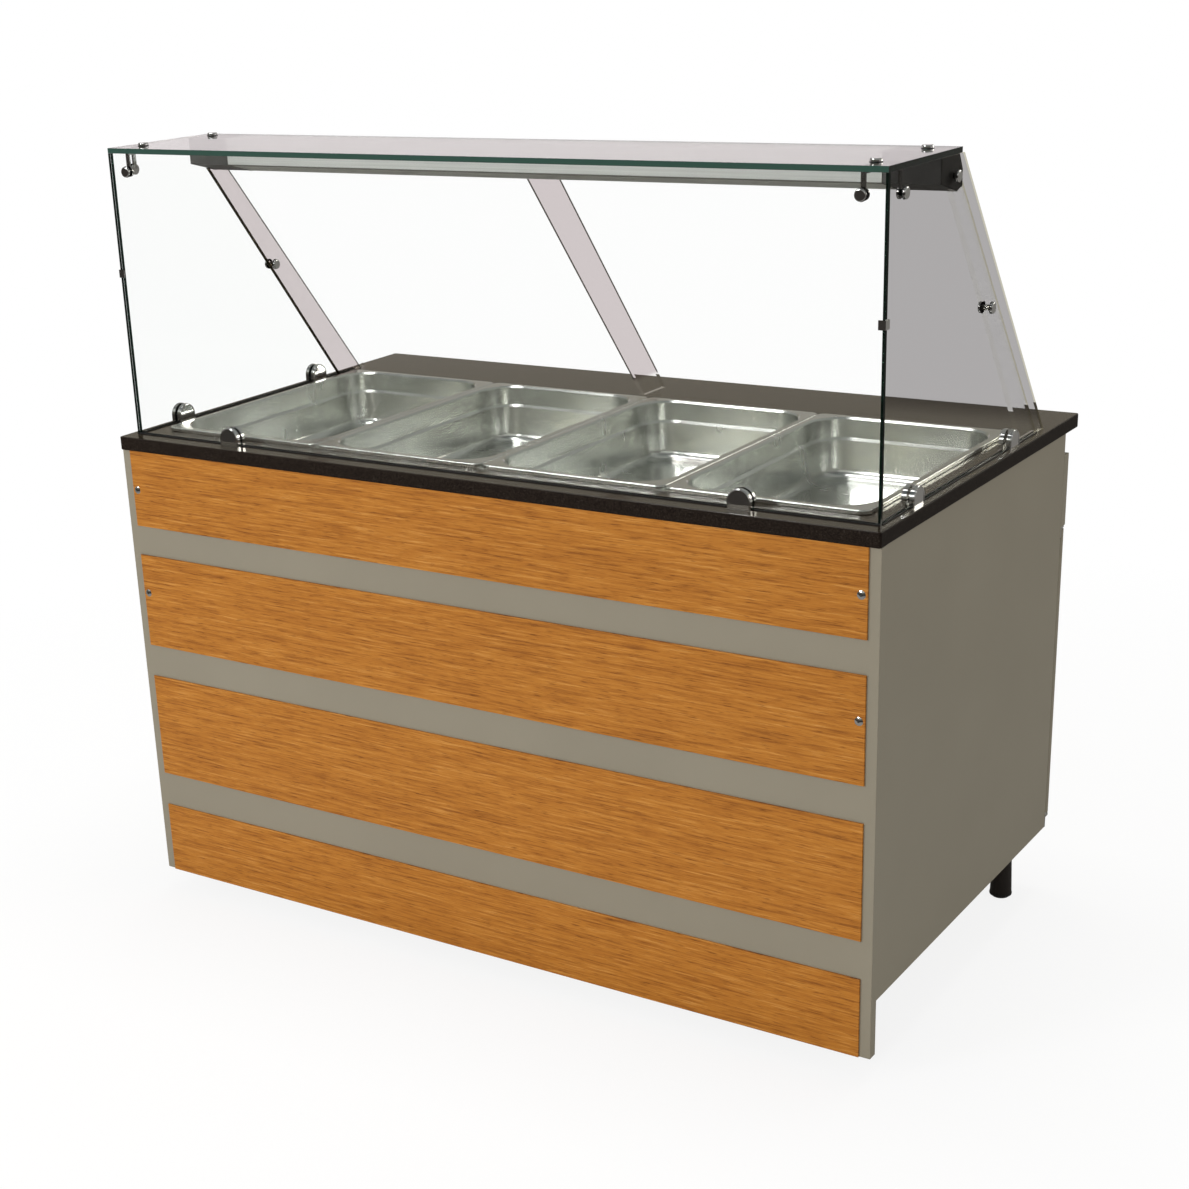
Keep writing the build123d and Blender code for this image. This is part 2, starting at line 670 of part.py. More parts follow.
def make_pan():
    """One pan about its own middle, with the rim's upper face at height 0."""
    rim = along_z(RectangleRounded(PAN_WIDTH, PAN_LENGTH, PAN_RIM_CORNER), -PAN_LIP, 0)
    rim = fillet(rim.faces().sort_by(Axis.Z)[-1].edges(), PAN_RIM_ROUND)
    trim = 2 * PAN_SHEET
    rim -= along_z(RectangleRounded(PAN_WIDTH - trim, PAN_LENGTH - trim, PAN_RIM_CORNER - PAN_SHEET),
                   -PAN_LIP, -PAN_SHEET)
    outer = drawn_form(pan_levels(PAN_SHEET), PAN_BOTTOM_ROUND + PAN_SHEET)
    inner = drawn_form(pan_levels(0.0), PAN_BOTTOM_ROUND)
    return rim + outer - inner


def make_pans():
    """The row of pans, each resting on the well's flange and the bars."""
    pan = make_pan()
    pans = {}
    for number in range(pan_count):
        x = (number - (pan_count - 1) / 2) * pan_pitch
        pans["food_pan_%d" % (number + 1)] = Pos(x, pan_y, rim_top) * pan
    return pans


def pivot_bracket(side, plate_low, shoulder_low, pin_low, leg):
    """A bracket on the cabinet's rear edge whose shouldered pin carries a door; leg is its upright part."""
    near = side_outer - PIVOT_PLATE_LENGTH
    x = sorted((side * near, side * side_outer))
    back = rear_edge + PIVOT_PLATE
    bracket = block(x, (rear_edge, back), leg)
    plate = (plate_low, plate_low + PIVOT_PLATE)
    bracket += block(x, (rear_edge, pivot_y), plate)
    axis = Pos(side * pivot_x, pivot_y, 0)
    bracket += axis * drum(DOOR_THICKNESS, *plate)
    bracket += axis * drum(PIVOT_SHOULDER, shoulder_low, shoulder_low + PIVOT_SHOULDER_DEPTH)
    return bracket + axis * drum(PIVOT_PIN, pin_low, pin_low + PIVOT_PIN_LENGTH)


def make_doors():
    """Two doors that swing on pins at their outer edges, with brackets, handles and catches."""
    pieces = {}
    brackets = []
    catches = []
    plate_high = fascia_bottom - PIVOT_PLATE
    for name, side in (("left", -1), ("right", 1)):
        pin = Pos(side * pivot_x, pivot_y, 0)
        free = DOOR_GAP / 2
        leaf = block(sorted((side * free, side * pivot_x)), (door_inner, door_outer), (door_bottom, door_top))
        ends = leaf.edges().filter_by(Axis.Z)
        leaf = fillet(ends.sort_by(Axis.X)[2:] if side < 0 else ends.sort_by(Axis.X)[:2], DOOR_EDGE_ROUND)
        leaf += pin * drum(DOOR_THICKNESS, door_bottom, door_top)
        bore = PIVOT_PIN + 2 * PIVOT_FIT
        depth = PIVOT_PIN_LENGTH
        leaf -= pin * drum(bore, door_bottom, door_bottom + depth)
        leaf -= pin * drum(bore, door_top - depth, door_top)
        pieces["door_" + name] = leaf

        shoulder = base_top + PIVOT_PLATE
        brackets.append(pivot_bracket(side, base_top, shoulder, shoulder + PIVOT_SHOULDER_DEPTH,
                                      (CABINET_BOTTOM, shoulder)))
        shoulder = plate_high - PIVOT_SHOULDER_DEPTH
        brackets.append(pivot_bracket(side, plate_high, shoulder, shoulder - PIVOT_PIN_LENGTH,
                                      (fascia_bottom - BOARD, fascia_bottom)))

        x = side * HANDLE_EDGE
        top = door_top - HANDLE_DROP
        bar = door_outer + HANDLE_REACH - HANDLE_BAR / 2
        route = [(x, door_outer, top), (x, bar, top), (x, bar, top - HANDLE_SPAN),
                 (x, door_outer, top - HANDLE_SPAN)]
        pieces["door_handle_" + name] = pipe(route, HANDLE_BEND, HANDLE_BAR)

        catch_low = door_top - CATCH_HEIGHT
        catches.append(block(sorted((side * CATCH_EDGE, side * (CATCH_EDGE + CATCH_LENGTH))),
                             (rear_edge, door_inner - CATCH_GAP), (catch_low, door_top)))
    pieces["door_pivots"] = group(*brackets)
    pieces["door_catches"] = group(*catches)
    return pieces


def fascia_spot(place):
    """A place on the fascia's outer face, measured along it from its end at -X."""
    return Pos(place - side_outer, door_outer, fascia_middle)


def switch_opening():
    """Width and height of the hole that a switch's body fills in the fascia."""
    width = ROCKER_WIDTH + 2 * (ROCKER_GAP + SWITCH_BODY_WALL)
    height = 2 * (ROCKER_RADIUS + ROCKER_GAP + SWITCH_BODY_WALL)
    return width, height


def make_fascia():
    """The folded fascia with its holes for the controls."""
    outside = block((-side_outer, side_outer), (rear_edge, door_outer), (fascia_bottom, fascia_top))
    outside = fillet(outside.faces().sort_by(Axis.Y)[-1].edges(), FASCIA_CORNER)
    sheet = FASCIA_SHEET
    fascia = outside - block((sheet - side_outer, side_outer - sheet), (rear_edge, fascia_inner),
                             (fascia_bottom + sheet, fascia_top - sheet))
    depth = (-FASCIA_SHEET, 0)
    fascia -= fascia_spot(KNOB_PLACE) * to_rear(drum(THERMOSTAT_BUSH + 2 * PANEL_FIT, *depth))
    for place in (pilot_place_1, pilot_place_2):
        fascia -= fascia_spot(place) * to_rear(drum(PILOT_LENS + 2 * PANEL_FIT, *depth))
    width, height = (size + 2 * PANEL_FIT for size in switch_opening())
    for place in (switch_place_1, switch_place_2):
        fascia -= fascia_spot(place) * to_rear(along_z(Rectangle(width, height), *depth))
    return fascia


def make_thermostat():
    """The thermostat behind the fascia, its probe on the well's wall, and the knob with its spindle."""
    spot = fascia_spot(KNOB_PLACE)
    back = -FASCIA_SHEET - THERMOSTAT_DEPTH
    case = along_z(RectangleRounded(THERMOSTAT_SIZE, THERMOSTAT_SIZE, THERMOSTAT_CORNER), back, -FASCIA_SHEET)
    case += drum(THERMOSTAT_BUSH, -FASCIA_SHEET, 0)
    case -= drum(SPINDLE + 2 * SPINDLE_FIT, -SPINDLE_LENGTH - KNOB_GAP, 0)

    grip = KNOB_GRIP / 2
    knob = turned((0, 0), (KNOB_DIAMETER / 2, 0), (KNOB_DIAMETER / 2, KNOB_SKIRT / 2), (grip, KNOB_SKIRT),
                  (grip - KNOB_DRAFT, KNOB_HEIGHT - KNOB_TOP_BEVEL),
                  (grip - KNOB_DRAFT - KNOB_TOP_BEVEL, KNOB_HEIGHT), (0, KNOB_HEIGHT))
    flute = drum(KNOB_FLUTE_DIAMETER, KNOB_SKIRT, KNOB_HEIGHT)
    flute = Pos(grip + KNOB_FLUTE_DIAMETER / 2 - KNOB_FLUTE_DEPTH, 0) * flute
    for turn in range(KNOB_FLUTES):
        knob -= Rot(0, 0, turn * 360 / KNOB_FLUTES) * flute
    knob += drum(SPINDLE, -SPINDLE_LENGTH, 0)

    bulb_y = well_rear + WELL_SHEET + PROBE_GAP + PROBE_BULB / 2
    x = KNOB_PLACE - side_outer
    case_back = door_outer + back
    route = [(x - PROBE_BULB_LENGTH, bulb_y, fascia_middle), (x, bulb_y, fascia_middle),
             (x, case_back, fascia_middle)]
    probe = pipe(route, PROBE_BEND, PROBE_CAPILLARY)
    probe += Pos(*route[0]) * to_side(drum(PROBE_BULB, 0, PROBE_BULB_LENGTH - 2 * PROBE_BEND), 1)
    return {"thermostat_body": spot * to_rear(case), "thermostat_probe": probe,
            "thermostat_knob": spot * Pos(0, KNOB_GAP, 0) * to_rear(knob)}


def make_switches():
    """Two rocker switches in snap-in frames, and the two pilot lamps beside them."""
    pieces = {}
    width, height = switch_opening()
    bezel = RectangleRounded(SWITCH_FRAME_WIDTH, SWITCH_FRAME_HEIGHT, SWITCH_FRAME_CORNER)
    frame = along_z(bezel, 0, SWITCH_FRAME_RISE)
    frame += along_z(Rectangle(width, height), -SWITCH_BODY_DEPTH, 0)
    wall = 2 * SWITCH_BODY_WALL
    frame -= along_z(Rectangle(width - wall, height - wall), SWITCH_BODY_WALL - SWITCH_BODY_DEPTH,
                     SWITCH_FRAME_RISE)
    rise = ROCKER_CROWN + ROCKER_RADIUS * tan(radians(ROCKER_TILT))
    face = outline((-ROCKER_BACK, -ROCKER_RADIUS), (rise, -ROCKER_RADIUS), (ROCKER_CROWN, 0),
                   (rise, ROCKER_RADIUS), (-ROCKER_BACK, ROCKER_RADIUS)) & Circle(ROCKER_RADIUS)
    rocker = along_x(face, -ROCKER_WIDTH / 2, ROCKER_WIDTH / 2)
    frames = []
    for name, place in (("main_switch", switch_place_1), ("lamp_switch", switch_place_2)):
        spot = fascia_spot(place)
        frames.append(spot * to_rear(frame))
        pieces[name] = spot * Pos(0, SWITCH_FRAME_RISE - ROCKER_CROWN, 0) * Rot(-ROCKER_TILT, 0, 0) * rocker
    pieces["switch_frames"] = group(*frames)
    lens = PILOT_LENS / 2
    collar = PILOT_COLLAR / 2
    body = Polyline((0, PILOT_LENS_RISE), (0, -PILOT_BODY_DEPTH), (lens, -PILOT_BODY_DEPTH), (lens, 0),
                    (collar, 0), (collar, PILOT_COLLAR_RISE / 2), (lens, PILOT_COLLAR_RISE))
    rise = PILOT_LENS_RISE - PILOT_COLLAR_RISE
    crown = RadiusArc((0, PILOT_LENS_RISE), (lens, PILOT_COLLAR_RISE), (lens ** 2 + rise ** 2) / (2 * rise))
    lamp = revolve(Plane.XZ * make_face([body, crown]), Axis.Z)
    places = (pilot_place_1, pilot_place_2)
    pieces["pilot_lamps"] = group(*[fascia_spot(place) * to_rear(lamp) for place in places])
    return pieces


def make_connection():
    """The terminal box on the control tray and the gland for the supply in the base board."""
    y = rear_edge - TERMINAL_BOX_SETBACK - TERMINAL_BOX_DEPTH / 2
    case = along_z(RectangleRounded(TERMINAL_BOX_LENGTH, TERMINAL_BOX_DEPTH, TERMINAL_BOX_CORNER),
                   fascia_bottom, fascia_bottom + TERMINAL_BOX_HEIGHT)
    case = fillet(case.faces().sort_by(Axis.Z)[-1].edges(), TERMINAL_BOX_CORNER / 2)
    bore = GLAND_BORE / 2
    thread = GLAND_THREAD / 2
    above = BOARD + GLAND_HEX_DEPTH
    dome = GLAND_DOME / 2
    dome_low = -GLAND_HEX_DEPTH - GLAND_DOME_DEPTH
    bend = -GLAND_HEX_DEPTH - GLAND_DOME_DEPTH / 2
    gland = turned((bore, above), (thread, above), (thread, 0), (dome, 0), (dome, bend),
                   (bore + GLAND_NOSE_WALL, dome_low), (bore, dome_low))
    gland += hexagon(GLAND_HEX, -GLAND_HEX_DEPTH, 0) - drum(GLAND_THREAD, -GLAND_HEX_DEPTH, 0)
    nut = hexagon(GLAND_HEX, BOARD, BOARD + GLAND_NUT_DEPTH)
    nut -= drum(GLAND_THREAD + 2 * PANEL_FIT, BOARD, BOARD + GLAND_NUT_DEPTH)
    place = Pos(GLAND_END - side_outer, rear_edge - GLAND_SETBACK, CABINET_BOTTOM)
    return {"terminal_box": Pos(TERMINAL_BOX_X, y, 0) * case, "cable_gland": place * group(gland, nut)}


def lean(foot, head, rise):
    """A leaning edge's setback at a height above the worktop, from its setbacks at the foot and the head."""
    return foot + (head - foot) * rise / GUARD_HEIGHT


def shelf_button_places():
    """The four buttons on the shelf, as (x, y)."""
    x = guard_end - SHELF_BUTTON_END
    rows = (SHELF_BUTTON_FRONT, SHELF_DEPTH - SHELF_BUTTON_REAR)
    return [(side * x, guard_front + y) for y in rows for side in (-1, 1)]


def side_button_places():
    """The buttons on a side pane, as (y, z): corner bracket, lamp cap and rib."""
    return [(guard_front + SIDE_BUTTON_SETBACK, shelf_bottom - SIDE_BUTTON_DROP),
            (lamp_front + CAP_BUTTON_SETBACK, shelf_bottom - CAP_BUTTON_DROP),
            (guard_front + lean(SIDE_RIB_FOOT, SIDE_RIB_HEAD, RIB_CLIP_RISE) + RIB_CLIP_INSET,
             TOP_HEIGHT + RIB_CLIP_RISE)]


def lamp_profile(grow):
    """The lamp's section in (Y, Z), grown outwards on every side."""
    low = lamp_front + LAMP_LOW_SETBACK
    section = outline((lamp_front, lamp_top), (lamp_front, lamp_top - LAMP_FRONT_DROP),
                      (low, lamp_top - LAMP_LOW_DROP), (lamp_rear, lamp_top - LAMP_REAR_DROP),
                      (lamp_rear, lamp_top - LAMP_REAR_RISE), (lamp_rear - LAMP_TOP_BEVEL, lamp_top))
    return offset(section, grow, kind=Kind.INTERSECTION) if grow else section


def leaning_pane(foot, foot_width, head, head_width, high):
    """A pane in (Y, Z) that leans to the front; foot and head are measured from the front pane's face."""
    rear_foot = foot + foot_width
    rear_head = head + head_width
    corners = [(guard_front + lean(foot, head, z - TOP_HEIGHT), z) for z in (pane_low, high)]
    corners += [(guard_front + lean(rear_foot, rear_head, z - TOP_HEIGHT), z) for z in (high, pane_low)]
    return outline(*corners)


def make_glass():
    """The front pane, side panes, shelf and ribs, with the holes for their buttons."""
    hole = BUTTON_SHANK + GLASS_HOLE_FIT
    pieces = {}
    front = block((-guard_end, guard_end), (guard_front, pane_back), (pane_low, pane_high))
    for side in (-1, 1):
        x = side * (guard_end - SHELF_BUTTON_END)
        front -= Pos(x, pane_back, shelf_bottom - FRONT_BUTTON_DROP) * to_front(drum(hole, 0, PANE))
    pieces["front_pane"] = front

    shelf = block((-guard_end, guard_end), (guard_front, guard_front + SHELF_DEPTH),
                  (shelf_bottom, shelf_top))
    for x, y in shelf_button_places():
        shelf -= Pos(x, y, shelf_bottom) * drum(hole, 0, SHELF_THICKNESS)
    pieces["shelf_glass"] = shelf

    rear_foot = guard_front + SIDE_PANE_FOOT
    rear_head = guard_front + SIDE_PANE_HEAD
    front_edge = pane_back + GLASS_GAP
    pane = outline((front_edge, pane_low), (rear_foot, pane_low), (rear_head, pane_high),
                   (front_edge, pane_high))
    rib = leaning_pane(SIDE_RIB_FOOT, SIDE_RIB_FOOT_WIDTH, SIDE_RIB_HEAD, SIDE_RIB_HEAD_WIDTH, lamp_top)
    rib_hole = side_button_places()[2]
    for name, side in (("left", -1), ("right", 1)):
        solid = along_x(pane, *sorted((side * pane_inner, side * guard_end)))
        for y, z in side_button_places():
            solid -= Pos(side * pane_inner, y, z) * to_side(drum(hole, 0, PANE), side)
        pieces["side_pane_" + name] = solid
        outer = pane_inner - GLASS_GAP
        strut = along_x(rib, *sorted((side * (outer - RIB), side * outer)))
        strut -= along_x(lamp_profile(GLASS_GAP), -lamp_end, lamp_end)
        strut -= Pos(side * (outer - RIB), *rib_hole) * to_side(drum(hole, 0, RIB), side)
        pieces["rib_" + name] = strut
    middle = leaning_pane(MIDDLE_RIB_FOOT, MIDDLE_RIB_FOOT_WIDTH, MIDDLE_RIB_HEAD, MIDDLE_RIB_HEAD_WIDTH,
                          lamp_top - MIDDLE_RIB_TOP_DROP)
    middle = along_x(middle, MIDDLE_RIB_X - RIB / 2, MIDDLE_RIB_X + RIB / 2)
    pieces["rib_middle"] = middle - along_x(lamp_profile(GLASS_GAP), -lamp_end, lamp_end)
    return pieces


def clamp_plate():
    """A clamp's round-topped plate, standing at the origin with its back at Z 0 and its top along +Y."""
    radius = CLAMP_WIDTH / 2
    straight = CLAMP_HEIGHT - radius
    face = Pos(0, straight) * Circle(radius) + Pos(0, straight / 2) * Rectangle(CLAMP_WIDTH, straight)
    face -= Pos(0, -radius) * Rectangle(2 * CLAMP_WIDTH, 2 * radius)
    plate = along_z(face, 0, CLAMP_PLATE)
    rim = plate.faces().sort_by(Axis.Z)[-1].edges().filter_by(GeomType.CIRCLE)
    return fillet(rim, CLAMP_EDGE_ROUND)


def make_clamps():
    """Pairs of clamp plates that grip the front pane and the side panes at the worktop."""
    plate = clamp_plate()
    upright = Rot(90, 0, 0) * plate
    plates = []
    for side in (-1, 1):
        spot = Pos(side * (guard_end - FRONT_CLAMP_END), 0, TOP_HEIGHT)
        plates.append(spot * Pos(0, guard_front - CLAMP_GLASS_GAP, 0) * upright)
        plates.append(spot * Pos(0, pane_back + CLAMP_GLASS_GAP, 0) * Rot(0, 0, 180) * upright)
        for setback in (SIDE_CLAMP_FRONT, SIDE_RIB_FOOT - SIDE_CLAMP_RIB_GAP - CLAMP_WIDTH / 2):
            spot = Pos(0, guard_front + setback, TOP_HEIGHT)
            outer = side * (guard_end + CLAMP_GLASS_GAP)
            inner = side * (pane_inner - CLAMP_GLASS_GAP)
            plates.append(spot * Pos(outer, 0, 0) * Rot(0, 0, 90 * side) * upright)
            plates.append(spot * Pos(inner, 0, 0) * Rot(0, 0, -90 * side) * upright)
    return {"pane_clamps": group(*plates)}


def button_head():
    """A chrome button that stands on Z 0."""
    head = drum(BUTTON_DIAMETER, 0, BUTTON_RISE)
    return fillet(head.faces().sort_by(Axis.Z)[-1].edges(), BUTTON_EDGE_ROUND)


def button(shank_length):
    """A chrome button that stands on Z 0, with a shank below it."""
    return button_head() + drum(BUTTON_SHANK, -shank_length, 0)


def make_fittings():
    """Buttons, corner brackets, edge clips and rib clips that hold the glass together."""
    pieces = {}
    front_z = shelf_bottom - FRONT_BUTTON_DROP
    shelf_x = guard_end - SHELF_BUTTON_END
    shelf_y = guard_front + SHELF_BUTTON_FRONT
    cap = button(SHELF_THICKNESS)
    pieces["shelf_buttons"] = group(*[Pos(x, y, shelf_top) * cap for x, y in shelf_button_places()])

    corner, lamp, rib = side_button_places()
    brackets = []
    buttons = []
    clips = []
    half = BRACKET_ARM / 2
    disc = drum(BUTTON_DIAMETER, 0, BRACKET_SHEET)
    for side in (-1, 1):
        x = side * shelf_x
        high = (shelf_bottom - BRACKET_SHEET, shelf_bottom)
        front_in = pane_back + GLASS_GAP
        side_in = pane_inner - GLASS_GAP
        bracket = Pos(x, shelf_y, shelf_bottom - BRACKET_SHEET) * disc
        bracket += block((x - half, x + half), (front_in, shelf_y), high)
        bracket += block((x - half, x + half), (front_in, front_in + BRACKET_SHEET), (front_z, shelf_bottom))
        bracket += Pos(x, front_in + BRACKET_SHEET, front_z) * to_front(disc)
        bracket += block(sorted((x, side * side_in)), (corner[0] - half, corner[0] + half), high)
        bracket += block(sorted((side * (side_in - BRACKET_SHEET), side * side_in)),
                         (corner[0] - half, corner[0] + half), (corner[1], shelf_bottom))
        bracket += Pos(side * (side_in - BRACKET_SHEET), *corner) * to_side(disc, side)
        brackets.append(bracket)

        buttons.append(Pos(x, guard_front, front_z) * to_front(button(PANE + GLASS_GAP)))
        for spot, reach in ((corner, GLASS_GAP), (lamp, LAMP_END_GAP), (rib, GLASS_GAP + RIB)):
            buttons.append(Pos(side * guard_end, *spot) * to_side(button(PANE + reach), side))
        buttons.append(Pos(side * (side_in - RIB), *rib) * to_side(button_head(), -side))

        arm = CORNER_CLIP_ARM
        sheet = CORNER_CLIP_SHEET
        low = TOP_HEIGHT + CORNER_CLIP_RISE
        z = (low, low + CORNER_CLIP_HEIGHT)
        out = guard_end + sheet
        clip = block(sorted((side * (out - arm), side * out)), (guard_front - sheet, guard_front), z)
        clip += block(sorted((side * guard_end, side * out)), (guard_front - sheet, guard_front + arm), z)
        clips.append(clip)
    pieces["corner_brackets"] = group(*brackets)
    pieces["pane_buttons"] = group(*buttons)
    pieces["corner_clips"] = group(*clips)
    return pieces


def make_lamp():
    """The lamp's housing, end caps, tube with its holders, and the diffuser that closes the underside."""
    pieces = {}
    housing = along_x(lamp_profile(0), -housing_end, housing_end)
    housing -= along_x(lamp_profile(-LAMP_WALL), -housing_end, housing_end)
    low = lamp_front + LAMP_LOW_SETBACK
    fall = (LAMP_LOW_DROP - LAMP_FRONT_DROP) / LAMP_LOW_SETBACK

    def under(y, depth):
        return y, lamp_top - LAMP_FRONT_DROP - (y - lamp_front) * fall + depth
    left = lamp_front + LAMP_WALL + DIFFUSER_REST
    right = low - DIFFUSER_REST
    window = outline(under(left, -LAMP_WALL), under(right, -LAMP_WALL), under(right, 2 * LAMP_WALL),
                     under(left, 2 * LAMP_WALL))
    housing -= along_x(window, -housing_end, housing_end)
    pieces["lamp_housing"] = housing
    left += GLASS_GAP
    right -= GLASS_GAP
    plate = outline(under(left, 0), under(right, 0), under(right, DIFFUSER), under(left, DIFFUSER))
    pieces["lamp_diffuser"] = along_x(plate, -housing_end, housing_end)

    caps = []
    holders = []
    tube_y = lamp_front + TUBE_SETBACK
    tube_z = lamp_top - TUBE_DROP
    for side in (-1, 1):
        cap = along_x(lamp_profile(0), *sorted((side * housing_end, side * lamp_end)))
        ends = cap.faces().sort_by(Axis.X)[-1 if side > 0 else 0].edges()
        caps.append(fillet(ends, LAMP_CAP_ROUND))
        holder = block(sorted((side * (housing_end - HOLDER_DEPTH), side * housing_end)),
                       (tube_y - HOLDER_SIZE / 2, tube_y + HOLDER_SIZE / 2),
                       (tube_z - HOLDER_SIZE / 2, tube_z + HOLDER_SIZE / 2))
        for shift in (-1, 1):
            pin = Pos(side * (housing_end - HOLDER_DEPTH), tube_y + shift * TUBE_PIN_SPACING / 2, tube_z)
            holder -= pin * to_side(drum(TUBE_PIN + 2 * PANEL_FIT, 0, TUBE_PIN_LENGTH + PANEL_FIT), side)
        holders.append(holder)
    pieces["lamp_end_caps"] = group(*caps)
    pieces["lamp_holders"] = group(*holders)
    reach = housing_end - HOLDER_DEPTH - PANEL_FIT
    tube = Pos(-reach, tube_y, tube_z) * to_side(drum(TUBE_DIAMETER, 0, 2 * reach), 1)
    for side in (-1, 1):
        for shift in (-1, 1):
            pin = Pos(side * reach, tube_y + shift * TUBE_PIN_SPACING / 2, tube_z)
            tube += pin * to_side(drum(TUBE_PIN, 0, TUBE_PIN_LENGTH), side)
    pieces["lamp_tube"] = tube
    return pieces


def make_legs():
    """Four legs: a flanged sleeve under the base board and a foot that screws into it."""
    stem = LEG_STEM / 2
    sleeve_low = CABINET_BOTTOM - LEG_FLANGE_DEPTH - LEG_SLEEVE_DEPTH
    inside = stem + LEG_STEM_FIT
    roof = CABINET_BOTTOM - LEG_FLANGE_DEPTH
    socket = turned((0, CABINET_BOTTOM), (LEG_FLANGE / 2, CABINET_BOTTOM), (LEG_FLANGE / 2, roof),
                    (LEG_SLEEVE / 2, roof), (LEG_SLEEVE / 2, sleeve_low), (inside, sleeve_low),
                    (inside, roof), (0, roof))
    foot_top = sleeve_low - FOOT_GAP
    stem_top = roof - FOOT_GAP
    foot = turned((0, 0), (FOOT_DIAMETER / 2 - FOOT_CHAMFER, 0), (FOOT_DIAMETER / 2, FOOT_CHAMFER),
                  (FOOT_WAIST / 2, foot_top), (stem, foot_top), (stem, stem_top), (0, stem_top))
    x = side_outer - LEG_END
    rows = (front_back + LEG_FRONT_SETBACK, rear_edge - LEG_REAR_SETBACK)
    places = [Pos(side * x, y, 0) for side in (-1, 1) for y in rows]
    return {"leg_sockets": group(*[place * socket for place in places]),
            "feet": group(*[place * foot for place in places])}


def main():
    """Build every piece and write one file for each node."""
    pieces = {"worktop": make_worktop(), "control_fascia": make_fascia()}
    makers = (make_cabinet, make_planks, make_well, make_elements, make_drain, make_pans, make_doors,
              make_thermostat, make_switches, make_connection, make_glass, make_clamps, make_fittings,
              make_lamp, make_legs)
    for maker in makers:
        pieces.update(maker())
    os.makedirs("parts", exist_ok=True)
    for name, shape in pieces.items():
        export_step(shape, os.path.join("parts", name + ".step"))


main()
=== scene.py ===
# %% [markdown]
# # A hot buffet counter
# A counter of this kind stands in a canteen: guests pass along the planked front, and the staff serve from
# behind. Its solids come ready from the construction drawing, at their real size and in metres. This lesson
# gives them their finishes, adds the small hardware that is too fine for the drawing, and lights the whole.

# %% Load the solids
import json
from math import cos, pi, radians, sin

import bmesh
import bpy
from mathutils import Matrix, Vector


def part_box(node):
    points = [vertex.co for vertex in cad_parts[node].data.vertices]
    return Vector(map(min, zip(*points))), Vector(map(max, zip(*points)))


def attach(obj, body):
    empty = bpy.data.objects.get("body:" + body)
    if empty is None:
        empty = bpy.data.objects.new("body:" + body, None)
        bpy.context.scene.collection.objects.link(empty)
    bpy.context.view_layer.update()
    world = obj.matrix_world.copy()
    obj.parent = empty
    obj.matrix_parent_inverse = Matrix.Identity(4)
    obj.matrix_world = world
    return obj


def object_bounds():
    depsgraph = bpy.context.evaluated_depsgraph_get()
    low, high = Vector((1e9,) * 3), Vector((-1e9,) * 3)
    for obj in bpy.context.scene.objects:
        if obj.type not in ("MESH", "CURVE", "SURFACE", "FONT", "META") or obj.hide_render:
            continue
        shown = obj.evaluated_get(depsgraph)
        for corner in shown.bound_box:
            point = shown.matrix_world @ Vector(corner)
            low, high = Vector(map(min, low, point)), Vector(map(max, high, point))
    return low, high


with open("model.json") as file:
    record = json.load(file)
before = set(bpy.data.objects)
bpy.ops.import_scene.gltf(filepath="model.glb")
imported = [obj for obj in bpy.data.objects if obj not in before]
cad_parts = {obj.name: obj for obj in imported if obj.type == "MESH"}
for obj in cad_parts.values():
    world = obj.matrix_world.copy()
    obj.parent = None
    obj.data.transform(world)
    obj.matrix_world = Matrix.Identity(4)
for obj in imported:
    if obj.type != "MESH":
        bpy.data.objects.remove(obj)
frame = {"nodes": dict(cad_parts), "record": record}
cad_low, cad_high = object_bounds()
nodes = frame["nodes"]
scene = bpy.context.scene
print("solids:", len(nodes), "nodes, box", [round(v, 3) for v in cad_high - cad_low])

# %% [markdown]
# ## Camera
# The counter is seen from its front right corner, a little above the shelf. The picture is a cut from a
# larger one, so its optical centre isn't in the middle. The lens shift takes that up, and upright edges
# stay as they are in the picture. Moving the camera sideways instead would change the perspective.

# %% Camera
FRAME_PX = 1189.0
FOCAL_PX = 2020.41
OPTICAL_CENTRE_PX = (510.28, 699.66)
SENSOR = 36.0
EYE = (1.76018, -2.82993, 1.60859)
LOOK_DEGREES = (69.506, 2.379, 33.629)

camera_data = bpy.data.cameras.new("picture_camera")
camera_data.sensor_width = SENSOR
camera_data.lens = FOCAL_PX / FRAME_PX * SENSOR
camera_data.shift_x = 0.5 - OPTICAL_CENTRE_PX[0] / FRAME_PX
camera_data.shift_y = OPTICAL_CENTRE_PX[1] / FRAME_PX - 0.5
camera = bpy.data.objects.new("picture_camera", camera_data)
camera.location = EYE
camera.rotation_euler = [radians(angle) for angle in LOOK_DEGREES]
scene.collection.objects.link(camera)
scene.camera = camera
scene.view_settings.view_transform = "Standard"
print("lens %.1f mm, shift %.3f %.3f" % (camera_data.lens, camera_data.shift_x, camera_data.shift_y))

# %% [markdown]
# ## Node helpers
# Every finish here is a small network of shader nodes on one Principled shader. Three things come back in
# all of them: noise stretched along a direction, a colour ramp, and a bump. The solids share one frame in
# metres, so object coordinates are real sizes: a noise scale of 100 means grains of about a centimetre.


# %% A node and a finish
def add_node(tree, kind, inputs=None, **settings):
    """One node with its settings and the values of its unlinked inputs."""
    node = tree.nodes.new(kind)
    for name, value in settings.items():
        setattr(node, name, value)
    for name, value in (inputs or {}).items():
        node.inputs[name].default_value = value
    return node


def new_finish(name, inputs):
    """A material with one Principled shader, and the plain values of that shader's inputs."""
    material = bpy.data.materials.new(name)
    material.use_nodes = True
    shader = material.node_tree.nodes["Principled BSDF"]
    for key, value in inputs.items():
        shader.inputs[key].default_value = value
    return material, material.node_tree, shader


print("helpers for nodes and finishes ready")


